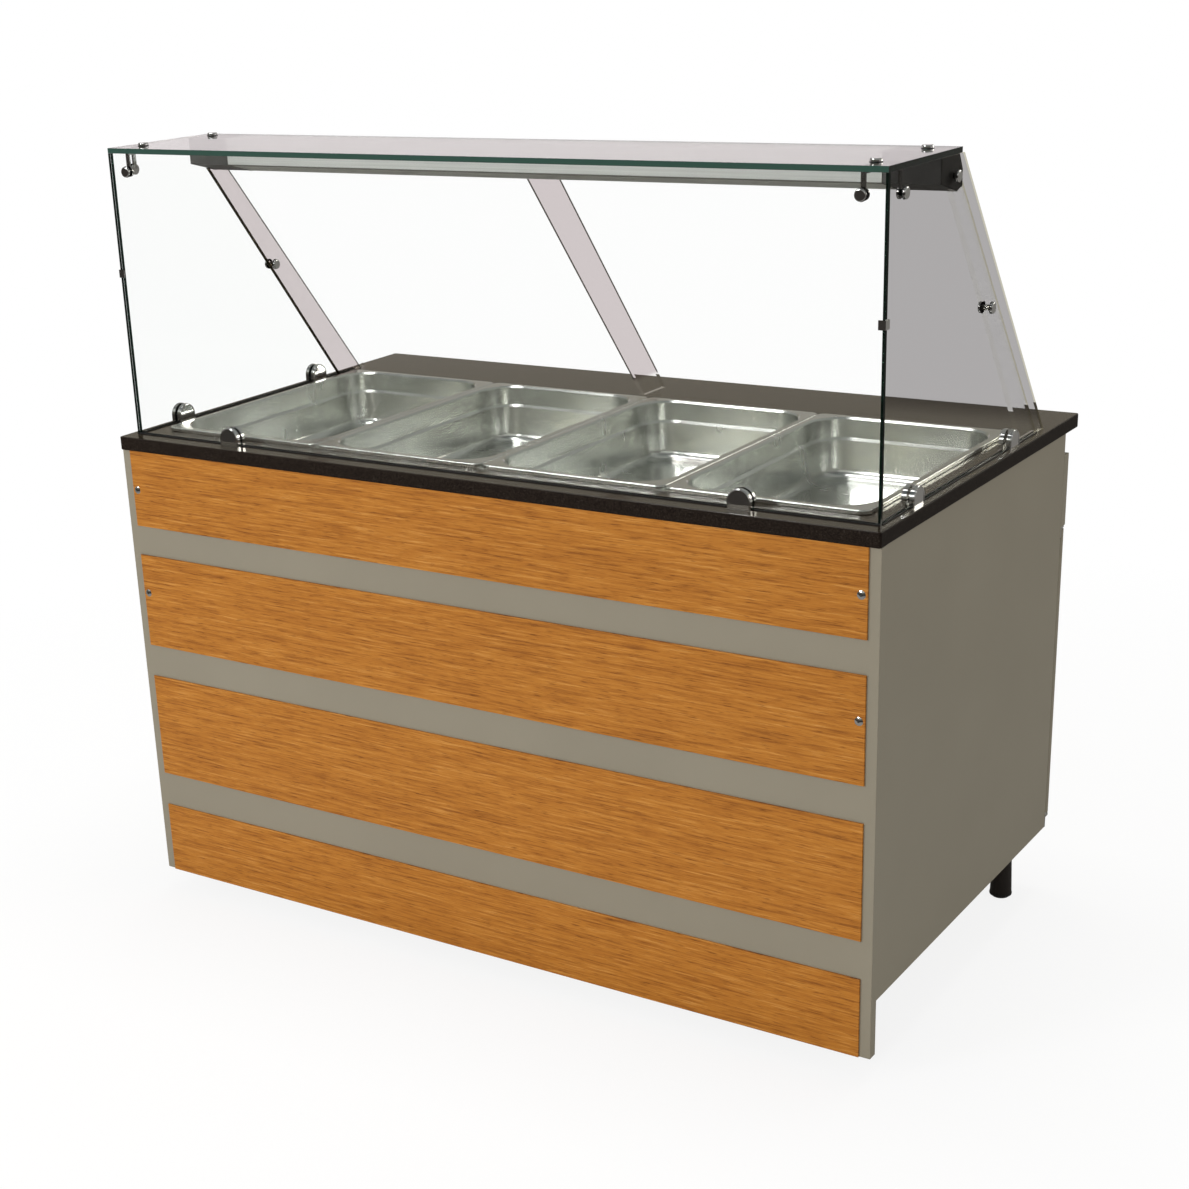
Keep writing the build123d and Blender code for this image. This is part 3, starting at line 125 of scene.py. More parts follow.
# %% Noise and ramps
def noise(tree, size, detail=3.0, roughness=0.5):
    """Noise whose grains measure size metres along X, Y and Z."""
    place = add_node(tree, "ShaderNodeTexCoord")
    stretch = add_node(tree, "ShaderNodeMapping", {"Scale": [1.0 / length for length in size]})
    grain = add_node(tree, "ShaderNodeTexNoise", {"Scale": 1.0, "Detail": detail, "Roughness": roughness,
                                                  "Distortion": 0.0})
    tree.links.new(place.outputs["Object"], stretch.inputs["Vector"])
    tree.links.new(stretch.outputs["Vector"], grain.inputs["Vector"])
    return grain.outputs["Fac"]


def ramp(tree, source, stops):
    """Colours at places of a 0 to 1 value; a stop is (place, grey) or (place, (r, g, b))."""
    node = add_node(tree, "ShaderNodeValToRGB")
    while len(node.color_ramp.elements) < len(stops):
        node.color_ramp.elements.new(0.5)
    for element, (place, colour) in zip(node.color_ramp.elements, stops):
        element.position = place
        element.color = (*colour, 1.0) if isinstance(colour, tuple) else (colour, colour, colour, 1.0)
    tree.links.new(source, node.inputs["Fac"])
    return node.outputs["Color"]


print("helpers for noise and ramps ready")


# %% Blends, sums, parts and bumps
def feed(tree, socket, value):
    """Give a socket a link, a colour or a number."""
    if isinstance(value, bpy.types.NodeSocket):
        tree.links.new(value, socket)
    else:
        socket.default_value = (*value, 1.0) if isinstance(value, tuple) else value


def blend(tree, factor, first, second, mode="MIX"):
    """Two colours mixed; factor, first and second are sockets or plain values."""
    node = add_node(tree, "ShaderNodeMix", data_type="RGBA", blend_type=mode)
    for name, value in (("Factor_Float", factor), ("A_Color", first), ("B_Color", second)):
        feed(tree, next(s for s in node.inputs if s.identifier == name), value)
    return next(s for s in node.outputs if s.identifier == "Result_Color")


def compute(tree, operation, *values):
    """A sum, product or other operation on sockets or plain numbers."""
    node = add_node(tree, "ShaderNodeMath", operation=operation)
    for socket, value in zip(node.inputs, values):
        feed(tree, socket, value)
    return node.outputs["Value"]


def parts_of(tree, vector):
    """The X, Y and Z of a vector, as three sockets."""
    node = add_node(tree, "ShaderNodeSeparateXYZ")
    tree.links.new(vector, node.inputs["Vector"])
    return node.outputs


def bump(tree, shader, height, distance):
    """A height of distance metres at full white, on the shader's normal."""
    node = add_node(tree, "ShaderNodeBump", {"Strength": 1.0, "Distance": distance})
    tree.links.new(height, node.inputs["Height"])
    tree.links.new(node.outputs["Normal"], shader.inputs["Normal"])


print("helpers for blends, sums, parts and bumps ready")

# %% [markdown]
# ## Floor
# The counter stands in a white studio, on a pale floor that takes its soft shadow. A lit plane alone would
# look like grey paper. So for rays from the camera or a pane the floor mostly glows, and farther out it
# does nothing else: the shadow shows near the counter only. Steel shows what it mirrors, and a white room
# would make it white. Rays that a mirror has turned therefore see another room, whose floor is grey round
# the counter and dark ahead of it. A floor painted in greys would give the same mirror image, but it would
# show in the picture.

# %% What a ray has met
NO_BOUNCE = 0.5


def seen_directly(tree):
    """1 for rays from the camera, from a mirror or through a pane that have met nothing matt, else 0."""
    path = add_node(tree, "ShaderNodeLightPath").outputs
    mirror_or_pane = compute(tree, "MAXIMUM", path["Is Glossy Ray"], path["Is Transmission Ray"])
    direct = compute(tree, "MAXIMUM", path["Is Camera Ray"], mirror_or_pane)
    return compute(tree, "MULTIPLY", direct, compute(tree, "LESS_THAN", path["Diffuse Depth"], NO_BOUNCE))


def by_mirror(tree):
    """1 for rays that a mirror has turned, else 0."""
    path = add_node(tree, "ShaderNodeLightPath").outputs
    return compute(tree, "GREATER_THAN", path["Glossy Depth"], NO_BOUNCE)


print("helpers for rays ready")

# %% Floor
FLOOR_HALF = 9.0
FLOOR_GREY = 0.85
WHITE_SHARE_NEAR = 0.86
WHITE_FROM, WHITE_BY = 1.1, 2.4
WHITE = (1.0, 1.0, 1.0)
ROOM_DARK = (0.05, 0.045, 0.04)
ROOM_GREY = (0.26, 0.25, 0.23)
ROOM_FROM, ROOM_BY = -1.4, -2.2


def floor_finish():
    material, tree, shader = new_finish("studio_floor", {
        "Base Color": (FLOOR_GREY, FLOOR_GREY, FLOOR_GREY, 1.0), "Roughness": 0.9, "Specular IOR Level": 0.0})
    place = add_node(tree, "ShaderNodeTexCoord")
    away = add_node(tree, "ShaderNodeVectorMath", operation="LENGTH")
    whiter = add_node(tree, "ShaderNodeMapRange", {"From Min": WHITE_FROM, "From Max": WHITE_BY,
                                                   "To Min": WHITE_SHARE_NEAR, "To Max": 1.0})
    white = add_node(tree, "ShaderNodeEmission")
    mix = add_node(tree, "ShaderNodeMixShader")
    ahead = add_node(tree, "ShaderNodeMapRange", {"From Min": ROOM_FROM, "From Max": ROOM_BY})
    tree.links.new(parts_of(tree, place.outputs["Object"])["Y"], ahead.inputs["Value"])
    room = blend(tree, ahead.outputs["Result"], ROOM_GREY, ROOM_DARK)
    tree.links.new(blend(tree, by_mirror(tree), WHITE, room), white.inputs["Color"])
    tree.links.new(place.outputs["Object"], away.inputs[0])
    tree.links.new(away.outputs["Value"], whiter.inputs["Value"])
    glow = compute(tree, "MULTIPLY", seen_directly(tree), whiter.outputs["Result"])
    tree.links.new(glow, mix.inputs["Fac"])
    tree.links.new(shader.outputs["BSDF"], mix.inputs[1])
    tree.links.new(white.outputs["Emission"], mix.inputs[2])
    tree.links.new(mix.outputs["Shader"], tree.nodes["Material Output"].inputs["Surface"])
    return material


corners = [(x * FLOOR_HALF, y * FLOOR_HALF, 0.0) for x, y in ((-1, -1), (1, -1), (1, 1), (-1, 1))]
floor_mesh = bpy.data.meshes.new("studio_floor")
floor_mesh.from_pydata(corners, [], [(0, 1, 2, 3)])
floor_mesh.materials.append(floor_finish())
floor = bpy.data.objects.new("studio_floor", floor_mesh)
scene.collection.objects.link(floor)
print("floor", 2 * FLOOR_HALF, "m square")

# %% [markdown]
# ## Sky
# The sky does three jobs. To the camera it is the white background, and on matt faces an even, slightly
# warm fill. To mirrored rays it is the walls and the ceiling of the other room: one ramp over the height
# for the rear, with a pale pink band low down, and one for the front, gloomy with a pale band high up. A
# photographed surrounding would do it too, but it needs an image. Two ramps are enough for such blurred
# mirrors.

# %% Sky
SKY_FILL = (0.605, 0.595, 0.565)
WALL_PINK = (0.83, 0.775, 0.785)
REAR_WALL = (0.28, 0.262, 0.212)
REAR_CEILING = (0.32, 0.33, 0.31)
WALL_GLOOM = (0.15, 0.145, 0.12)
CEILING_GLOOM = (0.14, 0.155, 0.16)
FRONT_PALE = (0.62, 0.64, 0.60)
REAR_STOPS = [(0.0, ROOM_GREY), (0.045, ROOM_GREY), (0.06, WALL_PINK), (0.115, WALL_PINK),
              (0.17, REAR_WALL), (0.27, REAR_WALL), (0.42, REAR_CEILING)]
FRONT_STOPS = [(0.0, ROOM_DARK), (0.03, ROOM_DARK), (0.06, WALL_GLOOM), (0.30, WALL_GLOOM),
               (0.38, FRONT_PALE), (0.58, FRONT_PALE), (0.68, CEILING_GLOOM)]
SIDE_TO_FRONT = [(0.0, 0.0), (0.35, 1.0)]

world = bpy.data.worlds.new("studio_sky")
scene.world = world
world.use_nodes = True
sky = world.node_tree
background = sky.nodes["Background"]
direction = add_node(sky, "ShaderNodeTexCoord")
looking = parts_of(sky, direction.outputs["Generated"])
rear = ramp(sky, looking["Z"], REAR_STOPS)
front = ramp(sky, looking["Z"], FRONT_STOPS)
to_front = ramp(sky, compute(sky, "MULTIPLY", looking["Y"], -1.0), SIDE_TO_FRONT)
mirrored = blend(sky, to_front, rear, front)
studio = blend(sky, by_mirror(sky), WHITE, mirrored)
sky.links.new(blend(sky, seen_directly(sky), SKY_FILL, studio), background.inputs["Color"])
print("sky fill", SKY_FILL)

# %% [markdown]
# ## Lamps
# A large lamp at the front left gives the soft key light and one above lights the worktop, so the right end
# of the counter falls into half shade. Mirrors don't see these two. Three panels do the reverse: they light
# no matt face and show in steel and glass only, like the soft boxes of a photographer. The one at the front
# makes the bright patches in the pans, the one at the rear the sparkle of the chrome, and the one overhead
# the white lines on the pans' mouths. One set of lamps for both jobs would tie the highlights to the
# shadows.


# %% Lamps
def soft_lamp(name, place, size, watts, tint=WHITE):
    """A rectangular area lamp that looks at the counter's middle and doesn't show to the camera."""
    data = bpy.data.lights.new(name, "AREA")
    data.shape = "RECTANGLE"
    data.size, data.size_y = size
    data.energy = watts
    data.color = tint
    lamp = bpy.data.objects.new(name, data)
    lamp.location = place
    lamp.rotation_euler = (middle - Vector(place)).to_track_quat("-Z", "Y").to_euler()
    lamp.visible_camera = False
    scene.collection.objects.link(lamp)
    return lamp


middle = (cad_low + cad_high) / 2
PANEL_WARM = (1.0, 0.98, 0.88)
room_lamps = [soft_lamp("key_lamp", (-3.1, -5.9, 2.7), size=(2.2, 3.0), watts=222.0),
              soft_lamp("top_lamp", (0.0, 0.4, 4.2), size=(2.6, 1.4), watts=90.0)]
mirror_lamps = [soft_lamp("mirror_panel", (-2.15, -4.08, 3.35), size=(1.9, 1.1), watts=115.0),
                soft_lamp("rear_panel", (3.0, 3.8, 2.15), size=(1.6, 1.1), watts=45.0, tint=PANEL_WARM),
                soft_lamp("ceiling_panel", (-0.85, -0.65, 3.4), size=(1.1, 0.8), watts=16.0)]
for lamp in room_lamps:
    lamp.visible_glossy = False
    lamp.visible_transmission = False
for lamp in mirror_lamps:
    lamp.visible_diffuse = False
print("lamps", [lamp.name for lamp in room_lamps + mirror_lamps])

# %% [markdown]
# ## Grey board
# The cabinet is board faced with a matt grey laminate. Such paper laminate isn't quite even: it has a faint
# cloudiness and a fine pressed texture that breaks up the reflection. Both are noise, one a hand wide and
# one a millimetre wide. A single flat grey would look like plain plastic.


# %% Grey board
def grey_board():
    material, tree, shader = new_finish("grey_board", {"Specular IOR Level": 0.25})
    cloud = noise(tree, (0.25, 0.25, 0.25), 2.0)
    fleck = noise(tree, (0.0012, 0.0012, 0.0012), 2.0)
    even = ramp(tree, cloud, [(0.3, (0.242, 0.217, 0.166)), (0.7, (0.258, 0.232, 0.178))])
    flecks = ramp(tree, fleck, [(0.3, (0.19, 0.17, 0.13)), (0.7, (0.31, 0.28, 0.22))])
    tree.links.new(blend(tree, 0.12, even, flecks), shader.inputs["Base Color"])
    tree.links.new(ramp(tree, fleck, [(0.2, 0.42), (0.8, 0.58)]), shader.inputs["Roughness"])
    bump(tree, shader, fleck, 0.00006)
    return material


finishes = {"grey_laminate": grey_board()}
print("grey board", [n for n in nodes if "panel" in n or "board" in n])

# %% [markdown]
# ## Wood-look planks
# The planks are a pressed laminate with the figure of straight, fine-grained wood: short brown dashes lying
# along the plank on a golden ground. A wave texture would give rings and arches. Noise that is more than
# twenty times as long as it is high gives such dashes at once, in three sizes: broad bands, the dashes, and
# fine flecks between them.


# %% Wood-look planks
def wood_look():
    material, tree, shader = new_finish("wood_look", {"Specular IOR Level": 0.2})
    band = noise(tree, (0.60, 0.60, 0.022), 4.0, 0.6)
    dash = noise(tree, (0.085, 0.085, 0.0030), 5.0, 0.7)
    fleck = noise(tree, (0.030, 0.030, 0.0014), 2.0, 0.6)
    ground = ramp(tree, band, [(0.3, (0.348, 0.122, 0.014)), (0.7, (0.460, 0.181, 0.025))])
    dashes = ramp(tree, dash, [(0.34, (0.185, 0.055, 0.006)), (0.47, (0.384, 0.139, 0.016)),
                               (0.56, (0.450, 0.177, 0.023)), (0.70, (0.620, 0.300, 0.075))])
    colour = blend(tree, 0.7, ground, dashes)
    flecks = ramp(tree, fleck, [(0.32, (0.42, 0.34, 0.28)), (0.42, WHITE)])
    colour = blend(tree, 0.8, colour, flecks, "MULTIPLY")
    tree.links.new(colour, shader.inputs["Base Color"])
    tree.links.new(ramp(tree, dash, [(0.3, 0.52), (0.7, 0.42)]), shader.inputs["Roughness"])
    bump(tree, shader, dash, 0.00008)
    return material


finishes["wood_laminate"] = wood_look()
print("planks", sorted(n for n in nodes if n.startswith("front_plank")))

# %% [markdown]
# ## Dark stone
# The worktop is a dark slab, polished on top and duller at its edges. Close up it is a mix of black and
# brown grains with a few light ones, which a Voronoi texture gives as cells with an even edge; noise would
# blur them. The polish is a coat with a faint warm haze, and the normal keeps it to the faces that look up.


# %% Dark stone
def dark_stone():
    material, tree, shader = new_finish("dark_stone", {
        "Specular IOR Level": 0.06, "Roughness": 0.5, "Coat Roughness": 0.13,
        "Coat Tint": (1.0, 0.92, 0.78, 1.0)})
    place = add_node(tree, "ShaderNodeTexCoord")
    grains = add_node(tree, "ShaderNodeTexVoronoi", {"Scale": 700.0})
    tree.links.new(place.outputs["Object"], grains.inputs["Vector"])
    split = add_node(tree, "ShaderNodeSeparateColor")
    tree.links.new(grains.outputs["Color"], split.inputs["Color"])
    colour = ramp(tree, split.outputs["Red"], [(0.0, (0.008, 0.005, 0.004)), (0.6, (0.016, 0.011, 0.008)),
                                               (0.95, (0.022, 0.016, 0.012)), (1.0, (0.034, 0.027, 0.021))])
    tree.links.new(colour, shader.inputs["Base Color"])
    facing = parts_of(tree, place.outputs["Normal"])
    tree.links.new(ramp(tree, facing["Z"], [(0.6, 0.0), (0.95, 0.95)]), shader.inputs["Coat Weight"])
    return material


finishes["dark_stone"] = dark_stone()

# %% [markdown]
# ## Bright steel and chrome
# Drawn pans are polished, so they mirror the room softly: metallic 1, a roughness between 0.19 and 0.28,
# and streaks from polishing and wiping that carry it from one to the other. Brushed lines would be the way
# for a folded sheet, but a drawn pan has none. Chromed fittings are the same with a lower roughness.


# %% Bright steel and chrome
def bright_steel():
    material, tree, shader = new_finish("bright_steel", {
        "Base Color": (0.68, 0.69, 0.66, 1.0), "Metallic": 1.0})
    wiped = noise(tree, (0.09, 0.03, 0.09), 4.0)
    tree.links.new(ramp(tree, wiped, [(0.3, 0.19), (0.7, 0.28)]), shader.inputs["Roughness"])
    return material


def chrome(name, grey):
    material, tree, shader = new_finish(name, {"Base Color": (grey, grey, grey, 1.0), "Metallic": 1.0})
    smudge = noise(tree, (0.012, 0.012, 0.012), 3.0)
    tree.links.new(ramp(tree, smudge, [(0.35, 0.07), (0.75, 0.16)]), shader.inputs["Roughness"])
    return material


finishes["stainless"] = bright_steel()
finishes["chrome"] = chrome("chrome", 0.62)
print("steel", sorted(n for n in nodes if n.startswith("food_pan")))

# %% [markdown]
# ## Glass
# Flat glass is clear through its face and dark green through its polished edge, because there one looks
# along the sheet. A fully traced absorption would do that too, but it is slow and noisy, and the green
# depends on the number of bounces. Here the normal tells faces and ends from edges. Which edge is the front
# or the rear one is told by the place, and a leaning rib is halved along its own line. Fine lines mark the
# corners that bound a sheet in the picture. The right pane's grey is painted shade; it and the middle rib are
# paler at the foot. Lamps shine through: for shadow rays the shader steps aside for a transparent one.

# %% Where the edges of a sheet are
SAME_LEVEL = 1e-4
LINE_WIDE = 0.0034


def lean_line(node):
    """The middle of a sheet in Y as a line over Z: its place at Z = 0 and its slope."""
    spots = [vertex.co for vertex in nodes[node].data.vertices]
    low, high = min(spot.z for spot in spots), max(spot.z for spot in spots)
    middles = []
    for level in (low, high):
        across = [spot.y for spot in spots if abs(spot.z - level) < SAME_LEVEL]
        middles.append((min(across) + max(across)) / 2)
    slope = (middles[1] - middles[0]) / (high - low)
    return middles[0] - slope * low, slope


def rear_half(tree, node, spot):
    """1 behind the middle of a sheet, else 0."""
    start, slope = lean_line(node)
    upright = compute(tree, "MULTIPLY_ADD", spot["Z"], -slope, spot["Y"])
    return compute(tree, "GREATER_THAN", upright, start)


def outer_corner(tree, node, spot, at_rear):
    """1 along the left corner of the front edge and the right corner of the rear edge, else 0."""
    low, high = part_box(node)
    aside = compute(tree, "SUBTRACT", spot["X"], (low.x + high.x) / 2)
    outward = compute(tree, "MULTIPLY", aside, compute(tree, "MULTIPLY_ADD", at_rear, 2.0, -1.0))
    return compute(tree, "GREATER_THAN", outward, (high.x - low.x) / 2 - LINE_WIDE)


print("the middle rib leans by %.3f" % lean_line("rib_middle")[1])

# %% Foot of a pane, and lamps through it
CLEAR = (0.985, 0.99, 0.985)
glass_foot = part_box("side_pane_right")[0].z


def foot_rise(tree, spot, rise_at):
    """0 at a sheet's foot and 1 above it; rise_at is the change's start, its end and its slant along Y."""
    start, end, slant = rise_at
    heights = {"From Min": glass_foot + start, "From Max": glass_foot + end}
    rise = add_node(tree, "ShaderNodeMapRange", heights, interpolation_type="SMOOTHSTEP")
    tree.links.new(compute(tree, "MULTIPLY_ADD", spot["Y"], slant, spot["Z"]), rise.inputs["Value"])
    return rise.outputs["Result"]


def let_lamps_through(tree, shader):
    """Swap the shader for a transparent one where a ray only looks for a lamp."""
    see_through = add_node(tree, "ShaderNodeBsdfTransparent", {"Color": (*CLEAR, 1.0)})
    path = add_node(tree, "ShaderNodeLightPath")
    mix = add_node(tree, "ShaderNodeMixShader")
    tree.links.new(path.outputs["Is Shadow Ray"], mix.inputs["Fac"])
    tree.links.new(shader.outputs["BSDF"], mix.inputs[1])
    tree.links.new(see_through.outputs["BSDF"], mix.inputs[2])
    tree.links.new(mix.outputs["Shader"], tree.nodes["Material Output"].inputs["Surface"])


print("foot of the glass at %.4f" % glass_foot)

# %% Glass of one sheet
EDGE_GREEN = (0.003, 0.007, 0.005)
EDGE_THROUGH = (0.1, 0.1, 0.1)
EDGE_DARK = 0.1
END_ON = 0.6
FACE_STOPS = [(0.5, 0.0), (0.7, 1.0)]
PANE_IOR = 1.12
# Heights between which the right pane's painted shade rises from its clear foot, slanting along Y.
PANE_SHADE_RISE = (0.060, 0.094, 0.235)


def edge_blend(tree, at_rear, at_end, values):
    """The first of three values on the front edge, the second on the rear edge, the third on an end."""
    front, rear, end = values
    return blend(tree, at_end, blend(tree, at_rear, front, rear), end)


def pane_glass(node, across, face, low_face=None, edge=EDGE_GREEN, rear_edge=None, end_edge=None, line=None,
               ior=PANE_IOR, rise_at=PANE_SHADE_RISE, clear_foot=False):
    """Glass for a sheet whose faces look along the axis across (0, 1 or 2).
    low_face is its colour at the foot, and clear_foot gives the edges that colour too.
    line is the colour of a fine line along its outer corners, at the rear only if rear_edge is given."""
    material, tree, shader = new_finish(node + "_glass", {"Roughness": 0.0, "IOR": ior})
    place = add_node(tree, "ShaderNodeTexCoord")
    facing = parts_of(tree, place.outputs["Normal"])
    spot = parts_of(tree, place.outputs["Object"])
    colour = face
    if low_face:
        rise = foot_rise(tree, spot, rise_at)
        colour = blend(tree, rise, low_face, face)
    at_rear = rear_half(tree, node, spot)
    at_end = compute(tree, "GREATER_THAN", compute(tree, "ABSOLUTE", facing["X"]), END_ON)
    tints = (edge, rear_edge or edge, end_edge or edge)
    shares = [EDGE_THROUGH if max(tint) < EDGE_DARK else WHITE for tint in tints]
    border = edge_blend(tree, at_rear, at_end, tints)
    through = edge_blend(tree, at_rear, at_end, shares)
    if line:
        at_corner = outer_corner(tree, node, spot, at_rear)
        if rear_edge:
            at_corner = compute(tree, "MULTIPLY", at_corner, at_rear)
        border = blend(tree, at_corner, border, line)
    if clear_foot:
        border = blend(tree, rise, low_face, border)
    face_on = ramp(tree, compute(tree, "ABSOLUTE", facing[across]), FACE_STOPS)
    tree.links.new(blend(tree, face_on, border, colour), shader.inputs["Base Color"])
    tree.links.new(blend(tree, face_on, through, WHITE), shader.inputs["Transmission Weight"])
    let_lamps_through(tree, shader)
    return material


print("glass edge", EDGE_GREEN)

# %% Panes, shelf and ribs
EDGE_OLIVE = (0.016, 0.013, 0.008)
EDGE_TEAL = (0.035, 0.075, 0.060)
SIDE_IOR, SHELF_IOR, RIB_IOR = 1.04, 1.3, 1.02
# The right pane's grey face and grey rear edge are painted shade; at its foot the pane is nearly clear.
PANE_PAINTED_SHADE, PANE_SHADE_FOOT, PANE_REAR_SHADE = (0.415, 0.403, 0.403), (0.88, 0.88, 0.87), (0.40, 0.39, 0.36)
SHELF_GREY = (0.80, 0.78, 0.78)
RIB_LILAC, RIB_FOOT, RIB_PALE = (0.64, 0.58, 0.585), (0.94, 0.93, 0.91), (0.95, 0.95, 0.90)
RIB_RISE = (0.027, 0.035, 0.0)
LINE_DARK, LINE_OLIVE = (0.012, 0.011, 0.008), (0.75, 0.72, 0.50)

panes = {
    "front_pane": pane_glass("front_pane", 1, CLEAR),
    "side_pane_left": pane_glass("side_pane_left", 0, CLEAR, rear_edge=CLEAR, ior=SIDE_IOR),
    # The right pane: painted shade on its face and rear edge, clearing towards the foot.
    "side_pane_right": pane_glass("side_pane_right", 0, PANE_PAINTED_SHADE, PANE_SHADE_FOOT, rear_edge=PANE_REAR_SHADE,
                                  line=LINE_OLIVE, ior=SIDE_IOR),
    "shelf_glass": pane_glass("shelf_glass", 2, SHELF_GREY, edge=EDGE_TEAL, end_edge=EDGE_GREEN,
                              ior=SHELF_IOR),
    "rib_left": pane_glass("rib_left", 0, RIB_LILAC, edge=EDGE_OLIVE, rear_edge=RIB_LILAC, line=LINE_DARK,
                           ior=RIB_IOR),
    "rib_middle": pane_glass("rib_middle", 0, RIB_LILAC, RIB_FOOT, edge=RIB_LILAC, line=LINE_DARK,
                             ior=RIB_IOR, rise_at=RIB_RISE, clear_foot=True),
    "rib_right": pane_glass("rib_right", 0, CLEAR, edge=RIB_PALE, rear_edge=RIB_PALE, line=LINE_OLIVE,
                            ior=RIB_IOR),
}
print("panes", sorted(panes))

# %% [markdown]
# ## Plastics, plated parts and the lamp
# The rest is small: moulded plastic with a fine grain, zinc plating with its cloudy spangle, brass, and the
# satin anodised housing of the lamp, whose drawing lines run along it. Two functions cover them all,
# because each is one noise that carries colour and roughness together; only grain size and colour differ.

# %% Plastics, plated parts and the lamp
GRAIN_DARK, GRAIN_LIGHT = 0.85, 1.12
GRAIN_ROUGH, GRAIN_HIGH = 0.06, 0.00004
CLOUD_DARK, CLOUD_ROUGH = 0.8, 0.1


def moulded(name, colour, rough, gloss=0.5, grain=0.0008):
    material, tree, shader = new_finish(name, {"Specular IOR Level": gloss})
    texture = noise(tree, (grain, grain, grain), 2.0)
    darker = tuple(GRAIN_DARK * value for value in colour)
    lighter = tuple(min(1.0, GRAIN_LIGHT * value) for value in colour)
    roughness = ramp(tree, texture, [(0.3, rough - GRAIN_ROUGH), (0.7, rough + GRAIN_ROUGH)])
    tree.links.new(ramp(tree, texture, [(0.3, darker), (0.7, lighter)]), shader.inputs["Base Color"])
    tree.links.new(roughness, shader.inputs["Roughness"])
    bump(tree, shader, texture, GRAIN_HIGH)
    return material


def plated(name, colour, rough, size, metallic=1.0):
    material, tree, shader = new_finish(name, {"Metallic": metallic})
    cloud = noise(tree, size, 4.0)
    darker = tuple(CLOUD_DARK * value for value in colour)
    roughness = ramp(tree, cloud, [(0.3, rough + CLOUD_ROUGH), (0.7, rough)])
    tree.links.new(ramp(tree, cloud, [(0.3, darker), (0.7, colour)]), shader.inputs["Base Color"])
    tree.links.new(roughness, shader.inputs["Roughness"])
    return material


finishes["aluminium"] = plated("satin_aluminium", (0.565, 0.585, 0.56), 0.34, (0.4, 0.002, 0.002), 0.45)
finishes["zinc_steel"] = plated("zinc_plating", (0.55, 0.55, 0.54), 0.35, (0.01, 0.01, 0.01))
finishes["brass"] = plated("brass", (0.75, 0.56, 0.25), 0.25, (0.015, 0.015, 0.015))
finishes["dark_plastic"] = moulded("dark_plastic", (0.021, 0.017, 0.015), 0.45, 0.15)
finishes["black_plastic"] = moulded("black_plastic", (0.014, 0.014, 0.014), 0.28)
finishes["grey_plastic"] = moulded("grey_plastic", (0.33, 0.33, 0.32), 0.5)
finishes["red_plastic"] = moulded("red_plastic", (0.50, 0.025, 0.018), 0.3)
# The opal diffuser's grey is painted shade: darker than the opal itself, because the lamp's underside lies in
# shade.
finishes["opal_plastic"] = moulded("opal_plastic", (0.27, 0.27, 0.24), 0.4, 0.2)
finishes["grey_paint"] = moulded("grey_powder_coat", (0.250, 0.225, 0.172), 0.5, 0.3, 0.0016)
finishes["lamp_glass"] = moulded("coated_tube", (0.86, 0.87, 0.86), 0.25)
print("finishes", len(finishes))

# %% [markdown]
# ## Dressing the solids
# The drawing names a finish for each solid. Dressing sixty of them by hand would be long, and one is soon
# forgotten. A loop hands every solid the material of that name, and the panes and the lamp's end caps get
# finishes of their own.

# %% Dressing the solids
CAP_GREY = (0.060, 0.060, 0.056)
own_finishes = {**panes, "lamp_end_caps": moulded("cap_plastic", CAP_GREY, 0.40, 0.3)}
for part in frame["record"]["subparts"]:
    solid = nodes[part["node"]]
    solid.data.materials.clear()
    solid.data.materials.append(own_finishes.get(part["node"]) or finishes[part["material_slot"]])

# %% [markdown]
# ## Tools for the small hardware
# What follows is too fine for the drawing: rims, screws, washers, seals and the marks of the controls.
# Three ways of making a mesh cover all of it. A profile is spun round an axis, as on a lathe; an outline is
# pushed along, as through a die; and a bead runs along a path. Stacked primitives would be quicker to type,
# but a lathe profile has its bevels and its socket in one closed skin.

# %% Spinning, pushing and beading
UP = Vector((0.0, 0.0, 1.0))
FACET = pi / 3


def spun(work, profile, centre, axis, steps=24):
    """Turn a profile of (radius, height) round an axis at centre; a third number makes a ring a hexagon."""
    upright = UP.rotation_difference(Vector(axis))
    rings = []
    for radius, height, *hexagon in profile:
        ring = []
        for step in range(steps):
            angle = 2 * pi * step / steps
            reach = radius / cos(angle % FACET - FACET / 2) if hexagon else radius
            spot = Vector((reach * cos(angle), reach * sin(angle), height))
            ring.append(work.verts.new(Vector(centre) + upright @ spot))
        rings.append(ring)
    join_rings(work, rings, True)


def join_rings(work, rings, closed):
    """Skin a row of rings with as many points each, and either close the row or cap its ends."""
    for low, high in zip(rings, rings[1:] + (rings[:1] if closed else [])):
        for step in range(len(low)):
            after = (step + 1) % len(low)
            work.faces.new((low[step], low[after], high[after], high[step]))
    if not closed:
        work.faces.new(rings[0])
        work.faces.new(rings[-1])


def pushed(work, outline, along):
    """A solid strip: an outline of points and the vector that it is pushed along."""
    join_rings(work, [[work.verts.new(Vector(spot) + shift) for spot in outline]
                      for shift in (Vector(), Vector(along))], False)


def bead(work, path, radius, plane, sides=10):
    """A round bead along points that lie in a plane with this normal."""
    turns = [2 * pi * side / sides for side in range(sides)]
    rings = []
    for index, spot in enumerate(path):
        ahead = path[min(index + 1, len(path) - 1)] - path[max(index - 1, 0)]
        outward = ahead.normalized().cross(plane)
        rings.append([work.verts.new(spot + radius * (cos(turn) * plane + sin(turn) * outward))
                      for turn in turns])
    join_rings(work, rings, False)


print("mesh tools ready")

# %% [markdown]
# ## A piece and its body
# Each kind of hardware is one mesh, which a small function fills. Double points are merged, the skin is
# turned outwards, and edges sharper than an angle stay sharp in the shading. Then the piece is tied to the
# body that carries it, so that a pointer turns with its knob. Typed places would go wrong with the next
# change of the drawing, so they are read off the solids; a node with many solids, like the clamps, is first
# taken apart.

# %% A piece and its body
FINE_ANGLE = radians(35.0)
MERGE = 1e-7


